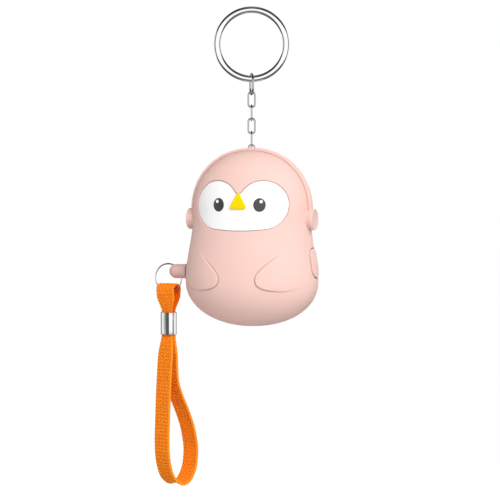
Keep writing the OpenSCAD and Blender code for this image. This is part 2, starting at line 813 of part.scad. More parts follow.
key_ring();
chain_link_1();
chain_link_2();
chain_link_3();
chain_link_4();
chain_link_5();
chain_eyelet();
front_shell();
rear_shell();
headband();
left_ear_cup();
right_ear_cup();
face_plate();
left_eye();
right_eye();
eye_glints();
beak();
light_button();
pull_pin_grip();
pull_pin_shank();
pin_ring();
strap_fold();
strap_loop();
strap_ferrule();
circuit_board();
cell_holder();
coin_cells();
cell_clip();
siren_plate();
siren_ceramic();
siren_gasket();
siren_coil();
driver_chip();
face_lights();
button_switch();
pin_switch();
switch_leaves();
case_screws();
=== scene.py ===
import math

import bpy
import numpy as np
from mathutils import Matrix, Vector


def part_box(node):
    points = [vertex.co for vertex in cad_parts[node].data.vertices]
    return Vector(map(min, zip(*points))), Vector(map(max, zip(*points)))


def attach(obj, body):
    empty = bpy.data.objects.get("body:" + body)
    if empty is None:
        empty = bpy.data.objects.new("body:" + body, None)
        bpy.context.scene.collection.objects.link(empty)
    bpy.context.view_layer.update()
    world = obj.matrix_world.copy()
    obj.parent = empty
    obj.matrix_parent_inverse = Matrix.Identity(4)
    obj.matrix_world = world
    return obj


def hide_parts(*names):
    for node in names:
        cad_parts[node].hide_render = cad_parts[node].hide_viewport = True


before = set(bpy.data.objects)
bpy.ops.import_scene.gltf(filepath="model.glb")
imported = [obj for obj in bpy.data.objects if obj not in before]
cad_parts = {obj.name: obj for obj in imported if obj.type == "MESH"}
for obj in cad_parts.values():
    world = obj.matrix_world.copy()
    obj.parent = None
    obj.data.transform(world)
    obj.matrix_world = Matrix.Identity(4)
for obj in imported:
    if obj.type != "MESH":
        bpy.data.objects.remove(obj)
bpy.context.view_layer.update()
mm = 0.001
print("frame loaded:", len(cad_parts), "nodes")


def addObject(name, data):
    thing = bpy.data.objects.new(name, data)
    bpy.context.collection.objects.link(thing)
    return thing


# stands a camera or a lamp at a reach from a point, on the side given by azimuth and elevation, looking at the point
def standAt(thing, aim, azimuth, elevation, reach):
    az, el = math.radians(azimuth), math.radians(elevation)
    back = np.array([math.sin(az) * math.cos(el), -math.cos(az) * math.cos(el), math.sin(el)])
    thing.location = aim + back * reach
    thing.rotation_euler = (math.pi / 2 - el, 0.0, az)


# camera: the photo's view, a little to the penguin's left and a little above level
shot = {"azimuth": 20.5, "elevation": 2.3, "lens": 150.0, "sensor": 36.0, "width": 186.6, "aimSide": -0.6,
        "aimZ": -76.55, "near": 0.01, "far": 20.0}


def buildCamera():
    data = bpy.data.cameras.new("photoCamera")
    data.lens, data.sensor_width = shot["lens"], shot["sensor"]
    data.clip_start, data.clip_end = shot["near"], shot["far"]
    camera = addObject("photoCamera", data)
    az = math.radians(shot["azimuth"])
    aim = np.array([shot["aimSide"] * math.cos(az), shot["aimSide"] * math.sin(az), shot["aimZ"]]) * mm
    standAt(camera, aim, shot["azimuth"], shot["elevation"], shot["width"] * mm * shot["lens"] / shot["sensor"])
    bpy.context.scene.camera = camera


buildCamera()
print("camera placed")


# four-cornered faces between the rows and columns of a table of point numbers
def quadsOf(index):
    return np.stack([index[:-1, :-1], index[:-1, 1:], index[1:, 1:], index[1:, :-1]], -1).reshape(-1, 4)


# faces of a grid of rows and columns, closed on itself where asked
def gridFaces(rows, cols, wrapRows=False, wrapCols=False):
    index = np.arange(rows * cols).reshape(rows, cols)
    if wrapRows:
        index = np.vstack([index, index[:1]])
    if wrapCols:
        index = np.hstack([index, index[:, :1]])
    return quadsOf(index)


# three-cornered faces from one point to each stretch of a loop
def fanFaces(centre, loop):
    return np.stack([np.full(len(loop) - 1, centre), loop[:-1], loop[1:]], -1)


# the two ends of a tube: a fan over its first ring and one over its last
def endFans(rings, count):
    loop, last = np.arange(1, count), (rings - 1) * count
    return [fanFaces(0, loop), fanFaces(last, loop[::-1] + last)]


# a mesh piece from points in millimetres; faces are turned so that they look away from the inside point;
# values are numbers at the points for the materials, and look names a finish other than the slot's own
def makePiece(name, points, faceSets, body, nodes, slotName, inside=None, values=None, look=None):
    points = np.asarray(points, float).reshape(-1, 3)
    tri = np.vstack([f[:, :3] for f in faceSets] + [f[:, [0, 2, 3]] for f in faceSets if f.shape[1] == 4])
    ref = points.mean(0) if inside is None else np.asarray(inside, float)
    a, b, c = (points[tri[:, k]] - ref for k in range(3))
    inverted = np.einsum("ij,ij->i", a, np.cross(b, c)).sum() < 0
    faces = []
    for f in faceSets:
        faces += (f[:, ::-1] if inverted else f).tolist()
    mesh = bpy.data.meshes.new(name)
    mesh.from_pydata((points * mm).tolist(), [], faces)
    for key, value in (values or {}).items():
        layer = mesh.attributes.new(key, "FLOAT", "POINT")
        layer.data.foreach_set("value", np.asarray(value, np.float32).ravel())
    mesh.polygons.foreach_set("use_smooth", np.ones(len(mesh.polygons), bool))
    mesh.update()
    mesh.materials.append(finish[look or slotName])
    piece = addObject(name, mesh)
    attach(piece, body)
    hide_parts(*nodes)
    return piece


# a closed section carried along a path: each path point has two directions that span the section
def carry(path, first, second, section):
    section = np.asarray(section, float)
    if section.ndim == 2:
        section = np.broadcast_to(section, (len(path),) + section.shape)
    return path[:, None, :] + section[..., :1] * first[:, None, :] + section[..., 1:] * second[:, None, :]


def fullTurn(count):
    return np.arange(count) * 2 * np.pi / count


def unit(v):
    return v / np.linalg.norm(v, axis=-1, keepdims=True)


# direction along a closed line at each point: from the point before to the one after
def loopTangents(line):
    return unit(np.roll(line, -1, 0) - np.roll(line, 1, 0))


# rounded flat section: a superellipse of the given width, thickness and power
def ovalSection(width, thick, power, count):
    c, s = np.cos(fullTurn(count)), np.sin(fullTurn(count))
    return np.stack([width / 2 * np.sign(c) * np.abs(c) ** (2 / power),
                     thick / 2 * np.sign(s) * np.abs(s) ** (2 / power)], -1)


# half-round wire: an oval with a high dome on one side and a shallow foot on the other
def domeSection(width, dome, foot, count):
    c, s = np.cos(fullTurn(count)), np.sin(fullTurn(count))
    return np.stack([width / 2 * c, np.where(s > 0, dome, foot) * s], -1)


def turnZ(points, degrees):
    c, s = math.cos(math.radians(degrees)), math.sin(math.radians(degrees))
    return np.asarray(points, float) @ np.array([[c, s, 0], [-s, c, 0], [0, 0, 1]])


# shader node group with named inputs (kind, start value) and outputs
def groupOf(name, inputs, outputs):
    tree = bpy.data.node_groups.new(name, "ShaderNodeTree")
    for key, (kind, value) in inputs.items():
        tree.interface.new_socket(key, in_out="INPUT", socket_type="NodeSocket" + kind).default_value = value
    for key, kind in outputs.items():
        tree.interface.new_socket(key, in_out="OUTPUT", socket_type="NodeSocket" + kind)
    return tree, tree.nodes.new("NodeGroupInput"), tree.nodes.new("NodeGroupOutput")


def nodesOf(tree, *kinds):
    return [tree.nodes.new("ShaderNode" + kind) for kind in kinds]


def linkAll(tree, pairs):
    for source, target in pairs:
        tree.links.new(source, target)


def objectNoise(tree, scale, stretch=(1, 1, 1)):
    place, spread, noise = nodesOf(tree, "TexCoord", "Mapping", "TexNoise")
    spread.inputs["Scale"].default_value = stretch
    linkAll(tree, ((place.outputs["Object"], spread.inputs["Vector"]),
                   (spread.outputs["Vector"], noise.inputs["Vector"]), (scale, noise.inputs["Scale"])))
    return noise.outputs[0]


# noise as a tint between a darker colour and white
def noiseTint(tree, scale, dark):
    ramp = nodesOf(tree, "ValToRGB")[0]
    ramp.color_ramp.elements[0].color, ramp.color_ramp.elements[1].color = (*dark, 1), (1, 1, 1, 1)
    tree.links.new(objectNoise(tree, scale), ramp.inputs[0])
    return ramp.outputs[0]


# a number that the mesh holds at each point
def meshValue(tree, name):
    node = nodesOf(tree, "Attribute")[0]
    node.attribute_name = name
    return node.outputs["Fac"]


def mapRange(tree, value, low, high):
    node = nodesOf(tree, "MapRange")[0]
    node.inputs["From Min"].default_value, node.inputs["From Max"].default_value = low, high
    tree.links.new(value, node.inputs["Value"])
    return node


def mixColour(tree, blend, amount, first, second):
    mix = nodesOf(tree, "Mix")[0]
    mix.data_type, mix.blend_type = "RGBA", blend
    for socket, value in ((mix.inputs[0], amount), (mix.inputs[6], first), (mix.inputs[7], second)):
        if isinstance(value, bpy.types.NodeSocket):
            tree.links.new(value, socket)
        else:
            socket.default_value = value
    return mix.outputs[2]


# fine grain of a moulded surface, as a normal
def grainGroup():
    tree, begin, end = groupOf("fineGrain", {"Scale": ("Float", 2600.0), "Depth": ("Float", 1e-5)},
                               {"Normal": "Vector"})
    bump = nodesOf(tree, "Bump")[0]
    bump.inputs["Strength"].default_value = 0.6
    linkAll(tree, ((begin.outputs["Depth"], bump.inputs["Distance"]),
                   (objectNoise(tree, begin.outputs["Scale"]), bump.inputs["Height"]),
                   (bump.outputs[0], end.inputs["Normal"])))
    return tree


# colour of moulded plastic: a slow drift of tone, and painted shade: darker where the mesh's painted-shade value is
# high, in grooves, hole lips, wing edges, along the parting seam and at the headband's foot
def paintedShadeGroup():
    tree, begin, end = groupOf("paintedShadeTone", {"Colour": ("Color", (1, 1, 1, 1)), "Shade": ("Color", (0.5, 0.4, 0.4, 1)),
                                              "Drift": ("Float", 60.0)}, {"Colour": "Color"})
    drift = noiseTint(tree, begin.outputs["Drift"], (0.97, 0.97, 0.97))
    drifted = mixColour(tree, "MULTIPLY", 1.0, begin.outputs["Colour"], drift)
    shaded = mixColour(tree, "MULTIPLY", meshValue(tree, "paintedShade"), drifted, begin.outputs["Shade"])
    tree.links.new(shaded, end.inputs["Colour"])
    return tree


# colour of the weave: painted shade darkens the gaps while the stitches keep the thread's colour, by the "stitch"
# value, with uneven fibres; on the fold's inner side the value also carries a painted shadow
def threadGroup():
    tree, begin, end = groupOf("threadTone", {"Gap": ("Color", (0.5, 0.08, 0.0, 1)), "Fibre": ("Float", 3500.0),
                                              "Thread": ("Color", (1, 0.3, 0.02, 1))}, {"Colour": "Color"})
    rise = mapRange(tree, meshValue(tree, "stitch"), 0.3, 0.8)
    rise.interpolation_type = "SMOOTHSTEP"
    base = mixColour(tree, "MIX", rise.outputs[0], begin.outputs["Gap"], begin.outputs["Thread"])
    fibre = noiseTint(tree, begin.outputs["Fibre"], (0.94, 0.92, 0.9))
    tree.links.new(mixColour(tree, "MULTIPLY", 1.0, base, fibre), end.inputs["Colour"])
    return tree


# uneven roughness of polished or drawn metal, drawn out along the height
def polishGroup():
    tree, begin, end = groupOf("polish", {"Scale": ("Float", 900.0), "Low": ("Float", 0.06), "High": ("Float", 0.14)},
                               {"Roughness": "Float"})
    spread = mapRange(tree, objectNoise(tree, begin.outputs["Scale"], (1.0, 1.0, 0.15)), 0.3, 0.7)
    linkAll(tree, ((begin.outputs["Low"], spread.inputs["To Min"]), (begin.outputs["High"], spread.inputs["To Max"]),
                   (spread.outputs[0], end.inputs["Roughness"])))
    return tree


grain, paintedShadeTone, threadTone, polish = grainGroup(), paintedShadeGroup(), threadGroup(), polishGroup()


def plain(name, colour, rough, metallic=0.0, gloss=0.5):
    material = bpy.data.materials.new(name)
    material.use_nodes = True
    shader = material.node_tree.nodes["Principled BSDF"]
    for key, value in (("Base Color", (*colour, 1)), ("Roughness", rough), ("Metallic", metallic),
                       ("Specular IOR Level", gloss)):
        shader.inputs[key].default_value = value
    return material


def useGroup(material, group, output, socket, values):
    node = material.node_tree.nodes.new("ShaderNodeGroup")
    node.node_tree = group
    for key, value in values.items():
        node.inputs[key].default_value = value
    shader = material.node_tree.nodes["Principled BSDF"]
    material.node_tree.links.new(node.outputs[output], shader.inputs[socket])


# moulded plastic: base colour with a slow drift, and the shade colour painted where the mesh's painted-shade value is
# high
def moulded(name, colour, shade, rough, gloss, depth):
    material = plain(name, colour, rough, gloss=gloss)
    useGroup(material, paintedShadeTone, "Colour", "Base Color", {"Colour": (*colour, 1), "Shade": (*shade, 1)})
    useGroup(material, grain, "Normal", "Normal", {"Depth": depth})
    return material


def metal(name, colour, low, high):
    material = plain(name, colour, low, 1.0)
    useGroup(material, polish, "Roughness", "Roughness", {"Low": low, "High": high})
    return material


# woven cloth: the gap colour is painted shade in the weave's gaps; the thread colour is the yarn's own
def woven(name, gap, thread, rough, gloss, scale, depth):
    material = plain(name, thread, rough, gloss=gloss)
    useGroup(material, threadTone, "Colour", "Base Color", {"Gap": (*gap, 1), "Thread": (*thread, 1)})
    useGroup(material, grain, "Normal", "Normal", {"Scale": scale, "Depth": depth})
    return material


# finishes: colour first; moulded ones go on with the colour of their painted crease shade, roughness, gloss and grain
# depth, metals with the lowest and highest roughness, plain ones with roughness; the weave has the colour of the
# painted shade in its gaps and the colour of its threads, then roughness, gloss, and the scale and depth of its grain
finish = {
    "chain_metal": metal("chromeWire", (0.95, 0.95, 0.95), 0.05, 0.1),
    "chain_dull": metal("nickelWire", (0.66, 0.66, 0.66), 0.12, 0.2),
    # the pull pin's grip: the shell's pink darkened by about a fifth, a painted shadow of the body
    "grip_pink_painted_shadow": moulded("pinkGripPaintedShadow", (0.68, 0.455, 0.405), (0.5, 0.38, 0.36), 0.5, 0.3, 8e-6),
    "shell_pink": moulded("pinkShell", (0.86, 0.575, 0.515), (0.5, 0.38, 0.36), 0.5, 0.35, 8e-6),
    "face_white": moulded("paleFace", (0.955, 0.955, 0.955), (0.8, 0.78, 0.78), 0.35, 0.3, 4e-6),
    "eye_dark": plain("darkEye", (0.038, 0.0385, 0.039), 0.35, gloss=0.8),
    "glint_white": plain("whiteSpot", (0.95, 0.95, 0.95), 0.4),
    "beak_yellow": moulded("yellowBeak", (0.98, 0.66, 0.0), (0.6, 0.5, 0.4), 0.45, 0.15, 5e-6),
    "strap_orange": woven("orangeStrap", (0.95, 0.14, 0.001), (1.0, 0.37, 0.028), 0.85, 0.12, 5200.0, 3e-5),
    "pin_steel": metal("pinSteel", (0.7, 0.7, 0.7), 0.15, 0.25),
    "board_green": plain("boardGreen", (0.02, 0.2, 0.06), 0.4),
    "part_black": plain("partBlack", (0.02, 0.02, 0.02), 0.5),
    "cell_steel": metal("cellSteel", (0.6, 0.6, 0.6), 0.2, 0.3),
    "brass": metal("brassPlate", (0.72, 0.5, 0.16), 0.25, 0.35),
    "ceramic": plain("ceramicDisc", (0.8, 0.76, 0.66), 0.5),
    "gasket": plain("gasketFoam", (0.03, 0.03, 0.03), 0.8),
    "coil_copper": metal("coilCopper", (0.6, 0.25, 0.1), 0.35, 0.45),
}
print("materials made:", len(finish))

# wrist strap: a flat woven band that runs down from the ferrule, turns at the bottom and comes back
strap = {"width": 7.6, "thick": 1.1, "tuckWidth": 4.7, "tuckThick": 1.32, "loopTurn": -24.0, "foldTurn": -8.0,
         "columns": 5, "pitch": 1.3, "relief": 0.27, "lean": 0.95, "sideDip": 0.75, "midDip": 0.45, "midWide": 0.16,
         "ferruleTurn": -14.0, "foldWide": 2.45, "foldRise": 1.5, "ply": 0.73, "bow": 0.85, "bowReach": 2.6,
         # the share of brightness kept on the fold's inner side under its painted shadow
         "foldShadowShare": 0.0, "foldStop": 0.05, "endGap": 0.3, "loopEase": 9.0, "foldEase": 6.0, "step": 0.19,
         "faceCount": 52, "edgeCount": 12, "edgePower": 0.6, "level": 0.7, "flatShade": 0.4}
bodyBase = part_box("front_shell")[0].z / mm
ringLow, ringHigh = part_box("pin_ring")
strapSpot = np.array([(ringLow.x + ringHigh.x) / 2 / mm, 0.0, bodyBase])
ferruleLow, ferruleHigh = (v.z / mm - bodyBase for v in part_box("strap_ferrule"))
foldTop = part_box("strap_fold")[1].z / mm - bodyBase - strap["thick"] / 2 - strap["foldRise"]
foldEnd = (ferruleLow + ferruleHigh) / 2 + strap["foldStop"]
loopEnd = foldEnd - strap["endGap"]
loopRoute = np.array([
    [-strap["ply"], loopEnd], [-0.8, ferruleLow], [-1.3, -8.5], [-2, -16], [-2.7, -25.5], [-3.2, -36], [-3.5, -45],
    [-2.9, -52], [-1, -57.6], [1.9, -60.6], [5, -61.5], [8.2, -60], [10.7, -55.8], [11.6, -50.2], [11.2, -45.5],
    [9.6, -39.5], [6.7, -33], [3.3, -26.5], [1.4, -20.5], [0.9, -11], [0.8, ferruleLow], [strap["ply"], loopEnd]])


# smooth curve through points: on each stretch a cubic from one point to the next, whose slope at each of the two is
# half the step from the point before it to the point after it
def smoothRoute(points, steps):
    padded = np.vstack([2 * points[0] - points[1], points, 2 * points[-1] - points[-2]])
    t = (np.arange(steps) / steps)[None, :, None]
    p0, p1, p2, p3 = (padded[i:len(padded) - 3 + i, None, :] for i in range(4))
    curve = 0.5 * (2 * p1 + (p2 - p0) * t + (2 * p0 - 5 * p1 + 4 * p2 - p3) * t ** 2
                   + (3 * p1 - p0 - 3 * p2 + p3) * t ** 3)
    return np.vstack([curve.reshape(-1, points.shape[1]), points[-1:]])


# distance gone along a line at each of its points
def distances(points):
    return np.concatenate([[0], np.cumsum(np.linalg.norm(np.diff(points, axis=0), axis=1))])


# the same line with points at equal distances along it: an open one by a step, a closed one by a count
def evenRoute(points, step):
    gone = distances(points)
    at = np.linspace(0, gone[-1], int(round(gone[-1] / step)) + 1)
    return np.stack([np.interp(at, gone, points[:, k]) for k in (0, 1)], -1), at


def evenLoop(points, count):
    closed = np.vstack([points, points[:1]])
    gone = distances(closed)
    at = np.arange(count) * gone[-1] / count
    return np.stack([np.interp(at, gone, closed[:, k]) for k in (0, 1)], -1)


# smooth step from 0 to 1: three times the square less twice the cube
def ease(v):
    v = np.clip(v, 0, 1)
    return v * v * (3 - 2 * v)


# height of the weave: columns of stitches that lean from each column's middle to its two sides, with a dip at both
def weave(across, along):
    column = (across / strap["width"] + 0.5) * strap["columns"]
    side = np.abs(column - np.floor(column) - 0.5) * 2
    crest = np.abs(np.sin(np.pi * (along / strap["pitch"] + strap["lean"] * side)))
    return crest * (1 - strap["sideDip"] * side ** 6) * (1 - strap["midDip"] * np.exp(-(side / strap["midWide"]) ** 2))


# section of the strap as shares of its half width and half depth: two flat faces and two round edges
def strapSection():
    e, power = strap["thick"] / strap["width"], strap["edgePower"]
    flat = np.linspace(-1 + e, 1 - e, strap["faceCount"])
    turn = np.linspace(-np.pi / 2, np.pi / 2, strap["edgeCount"])[1:-1]
    edge = np.stack([1 - e + e * np.cos(turn) ** power, np.sign(turn) * np.abs(np.sin(turn)) ** power], -1)
    face = np.stack([flat, -np.ones_like(flat)], -1)
    return np.vstack([face, edge, -face, -edge])


# the strap along a route of places back and up: it narrows and turns in line with the ferrule where it enters it;
# its inner side keeps the given share of the stitches' brightness; less than all of it paints a shadow on that side
def strapBand(name, route, free, turn, nodes, bow, inside):
    section = strapSection()
    count = len(section)
    wide, flat = section[None, :, 0], section[None, :, 1]
    middle, gone = evenRoute(route, strap["step"])
    ahead = unit(np.gradient(middle, axis=0))
    side = np.stack([-ahead[:, 1], ahead[:, 0]], -1)
    out = free(middle[:, 1])
    width = strap["tuckWidth"] + (strap["width"] - strap["tuckWidth"]) * out
    depth = strap["tuckThick"] + (strap["thick"] - strap["tuckThick"]) * out
    across = wide * width[:, None] / 2
    stitch = weave(wide * strap["width"] / 2, gone[:, None] + np.zeros_like(across))
    lift = strap["relief"] * (stitch - strap["level"]) * flat ** 3
    bowed = bow(middle[:, 1])[:, None] * (1 - wide ** 2)
    deep = flat * depth[:, None] / 2 + lift + bowed
    angle = np.radians(strap["ferruleTurn"] + (turn - strap["ferruleTurn"]) * out)[:, None]
    back = middle[:, None, 0] + side[:, None, 0] * deep
    points = np.stack([across * np.cos(angle) - back * np.sin(angle), across * np.sin(angle) + back * np.cos(angle),
                       middle[:, None, 1] + side[:, None, 1] * deep], -1) + strapSpot
    faces = [gridFaces(len(middle), count, wrapCols=True)] + endFans(len(middle), count)
    # painted shade in the gaps of the weave: full on the flat faces, weaker on the round edges
    bright = 1 - (1 - stitch) * (strap["flatShade"] + (1 - strap["flatShade"]) * np.abs(flat) ** 3)
    # the inner side's stitch value is scaled by the given share: a painted shadow where the share is below one
    piece = makePiece(name, points, faces, "strap", nodes, "strap_orange",
                      values={"stitch": bright * np.where(flat < 0, inside, 1)})
    line = np.stack([-middle[:, 0] * np.sin(angle[:, 0]), middle[:, 0] * np.cos(angle[:, 0]), middle[:, 1]], -1)
    return piece, line + strapSpot


# how far the strap has left the ferrule, from 0 inside it to 1 where it lies at its full width and own turn
def loopFree(z):
    return ease((ferruleLow - z) / strap["loopEase"])


def foldFree(z):
    return ease((z - ferruleHigh) / strap["foldEase"])


# the lowest part of the loop is bowed across its width, so its edges hang lower than its middle
def loopBow(z):
    return strap["bow"] * np.exp(-((z - loopRoute[:, 1].min()) / strap["bowReach"]) ** 2)


strapLoop, loopLine = strapBand("strapLoop", smoothRoute(loopRoute, 40), loopFree, strap["loopTurn"], ["strap_loop"],
                                loopBow, 1)


# fold over the small ring: up from the ferrule, over the ring in a flat bend and down again
def foldRoute():
    z = np.linspace(foldEnd, foldTop, 60)
    rise = ease((z - ferruleHigh) / (foldTop - ferruleHigh))
    u = strap["ply"] + (strap["foldWide"] - strap["ply"]) * rise
    bend = np.linspace(0, np.pi, 60)[1:-1]
    over = np.stack([-strap["foldWide"] * np.cos(bend), foldTop + strap["foldRise"] * np.sin(bend)], -1)
    return np.vstack([np.stack([-u, z], -1), over, np.stack([u, z], -1)[::-1]])


# the fold, with a painted shadow on its inner side
strapFold = strapBand("strapFold", foldRoute(), foldFree, strap["foldTurn"], ["strap_fold"], np.zeros_like,
                      strap["foldShadowShare"])[0]

# body: an upright egg with a flat oval plan; outline from the base up to the crown
body = {"belly": 25.7, "ratio": 33.4 / 51.4, "height": 65.4, "head": 22.8, "bellyZ": 16.9, "waistZ": 41.0,
        "domeZ": 43.4, "power": 2 / 2.1, "heartZ": 35, "baseStart": 0.004, "baseRound": 0.6}
bodyHeart = (0, 0, bodyBase + body["heartZ"])


# outline radius and height: a superellipse quarter, a cosine step, a straight stretch and a superellipse quarter
def bodyOutline():
    t = np.linspace(0, np.pi / 2, 700)
    s = np.linspace(0, 1, 300)[1:]
    c, n = np.clip(np.cos(t), 0, 1) ** body["power"], np.sin(t) ** body["power"]
    radius = np.concatenate([body["belly"] * n,
                             body["head"] + (body["belly"] - body["head"]) * (1 + np.cos(np.pi * s)) / 2,
                             body["head"] * c])
    height = np.concatenate([body["bellyZ"] * (1 - c), body["bellyZ"] + (body["waistZ"] - body["bellyZ"]) * s,
                             body["domeZ"] + (body["height"] - body["domeZ"]) * n])
    return radius, height, distances(np.stack([radius, height], -1))


outR, outH, outS = bodyOutline()
slopeR, slopeH = np.gradient(outR, outS), np.gradient(outH, outS)


# distance along the outline and radius, at a height
def goneAt(z):
    return np.interp(z, outH, outS)


def radiusAt(z):
    return np.interp(z, outH, outR)


# point of the body for a turn about its axis and a distance along its outline, moved out along the normal
def bodyPoint(phi, gone, lift):
    r, h, dr, dh = (np.interp(gone, outS, v) for v in (outR, outH, slopeR, slopeH))
    k = body["ratio"]
    normal = unit(np.stack([np.sin(phi) * dh, -np.cos(phi) * dh / k, -dr], -1))
    return np.stack([r * np.sin(phi), -k * r * np.cos(phi), h], -1) + normal * lift[..., None]


# turn at which the body is met, for a place across in the front view or back in the side view
def frontTurn(p, q):
    return np.arcsin(np.clip(p / radiusAt(q), -1, 1))


def sideTurn(p, q):
    return np.arccos(np.clip(-p / body["ratio"] / radiusAt(q), -1, 1))


# places on the body from the front view, the back view and the two side views: the turn goes on from a start
def placeFrom(turn, start, sense):
    return lambda p, q: (start + sense * turn(p, q), goneAt(q))


frontPlace, rearPlace = placeFrom(frontTurn, 0, 1), placeFrom(frontTurn, np.pi, -1)
rightPlace, leftPlace = placeFrom(sideTurn, 0, 1), placeFrom(sideTurn, 0, -1)
leftRearPlace = placeFrom(sideTurn, 2 * np.pi, -1)


# how a place on the body is seen: across and up from the front, back and up from the side
def frontView(phi, gone):
    return np.stack([np.interp(gone, outS, outR) * np.sin(phi), np.interp(gone, outS, outH)], -1)


def sideView(phi, gone):
    return np.stack([-body["ratio"] * np.interp(gone, outS, outR) * np.cos(phi), np.interp(gone, outS, outH)], -1)


# closed outlines in those views
def ellipseLine(cx, cz, width, height, count):
    t = fullTurn(count)
    return np.stack([cx + width / 2 * np.cos(t), cz + height / 2 * np.sin(t)], -1)


def circleLine(cx, cz, r, count=240):
    return ellipseLine(cx, cz, 2 * r, 2 * r, count)


def stadiumLine(cx, cz, width, height, count=240):
    shift = np.sign(np.sin(fullTurn(count))) * (height - width) / 2
    return circleLine(cx, cz, width / 2, count) + np.stack([np.zeros(count), shift], -1)


face = {"lobeR": 8.95, "lobeX": 9.0, "lobeZ": 45.4, "notchZ": 49.45, "chinZ": 35.95, "inset": 0.5, "lip": 0.62,
        "wall": 0.9, "middle": (0.0, 44.9), "windowX": 20.2, "windowZ": 45, "low": 33.4, "high": 56.2,
        "spread": 9}


# face outline: two lobes joined by a small arc in the notch above and a wide arc under the chin
def faceLine(inset, count=1600):
    r = face["lobeR"] - inset
    h, g = face["notchZ"] - inset - face["lobeZ"], face["lobeZ"] - face["chinZ"] - inset
    x, z = face["lobeX"], face["lobeZ"]
    notchR = (x * x + h * h - r * r) / (2 * (r - h))
    chinR = (x * x + g * g - r * r) / (2 * (g - r))
    notchC, chinC = z + h + notchR, z - g + chinR
    notchA, chinA = math.atan2(notchC - z, -x), math.atan2(z - chinC, x)

    def arc(cx, cz, rad, a0, a1, n):
        t = np.linspace(a0, a1, n)
        return np.stack([cx + rad * np.cos(t), cz + rad * np.sin(t)], -1)

    right = arc(x, z, r, chinA, notchA, 500)
    top = arc(0, notchC, notchR, notchA - math.pi, -notchA, 120)
    left = right[::-1] * [-1, 1]
    under = arc(0, chinC, chinR, -math.pi - chinA, chinA, 300)
    return evenLoop(np.vstack([right, top[1:-1], left, under[1:-1]]), count)


wing = {"height": 0.62, "middle": (15.6, 21.0), "tip": (9.5, 18.2), "start": 2.5, "reach": 12.0, "bevel": 0.7,
        "low": 12.3, "high": 32.6, "windowX": 5.6, "windowZ": 20, "windowTurn": 70.5, "spread": 7, "rings": 18,
        "heart": 0.03,
        "route": ((10.5, 23.2), (8.1, 20.7), (7.05, 18.3), (7.8, 15.9), (10.3, 14.5), (13.8, 13.85), (17.4, 13.7),
                  (20.2, 14.4), (22.4, 15.9), (22.9, 18.0), (22.8, 22.0), (22.6, 27.0), (22.1, 30.6), (20.0, 30.9),
                  (17.5, 29.1), (14.0, 26.1))}


# outline of a wing: a smooth closed curve round the tip, along the lower edge and back along the upper one
def wingLine(side):
    points = np.array(wing["route"])
    closed = smoothRoute(np.vstack([points[-2:], points, points[:3]]), 40)[80:-80]
    return closed if side > 0 else closed[::-1] * [-1, 1]


# a wing is highest at its tip and melts into the body with the distance from it
def wingRise(x, z):
    away = np.hypot(np.abs(x) - wing["tip"][0], z - wing["tip"][1])
    return 1 - ease((away - wing["start"]) / wing["reach"])


# steps across a wing's edge: distance outside the outline, height and painted shade, darkest in the groove; a quarter
# round behind a fine groove
def wingSteps():
    out = np.array([0.6, 0.35, 0.2, 0.1, 0.05, 0.02, 0.0])
    into = wing["bevel"] * np.array([0.03, 0.09, 0.17, 0.29, 0.43, 0.6, 0.8, 1.0])
    height = np.sqrt(1 - (1 - into / wing["bevel"]) ** 2) * wing["height"]
    lift = np.concatenate([[0, 0, 0, -0.015, -0.035, -0.05, -0.05], height])
    # painted shade: dark in the groove at the wing's foot, fading up the bevel
    paintedShade = np.array([0, 0, 0.12, 0.4, 0.8, 1.0, 1.0, 0.8, 0.5, 0.25, 0.1, 0, 0, 0, 0])
    return np.concatenate([out, -into]), lift, paintedShade


# steps into a hole with a rounded edge: distance outside the outline, depth and painted shade that darkens as the lip
# falls, then down the wall
def lipSteps(lip, wall):
    near = lip * np.array([1.2, 1.0, 0.8, 0.6, 0.42, 0.27, 0.15, 0.06, 0.015, 0.0, 0.0, 0.0])
    fall = lip - np.sqrt(lip ** 2 - (lip - np.minimum(near, lip)) ** 2)
    fall[-2:] += wall * np.array([0.2, 1.0])
    # painted shade grows as the lip falls into the hole
    return near, -fall, np.clip(1.6 * fall / lip, 0, 1)


seam = {"gap": 0.015, "drop": 0.07, "round": 0.16, "flange": 1.2, "shade": 0.7}
crown = {"hole": 1.43, "edge": 2.6, "low": 63.5, "rings": 7, "drop": (0, 0, 0, 0, -0.05, -0.2, -0.5, -1.8)}
opening = {"lip": 0.22, "pinLip": 0.2, "wall": 1.5, "spread": 4, "lead": 1.25}


# turn of points about a window's middle, with its two reaches taken as one
def turnIn(points):
    x, z = (points / np.abs(points).max(0)).T
    return np.arctan2(z, x)


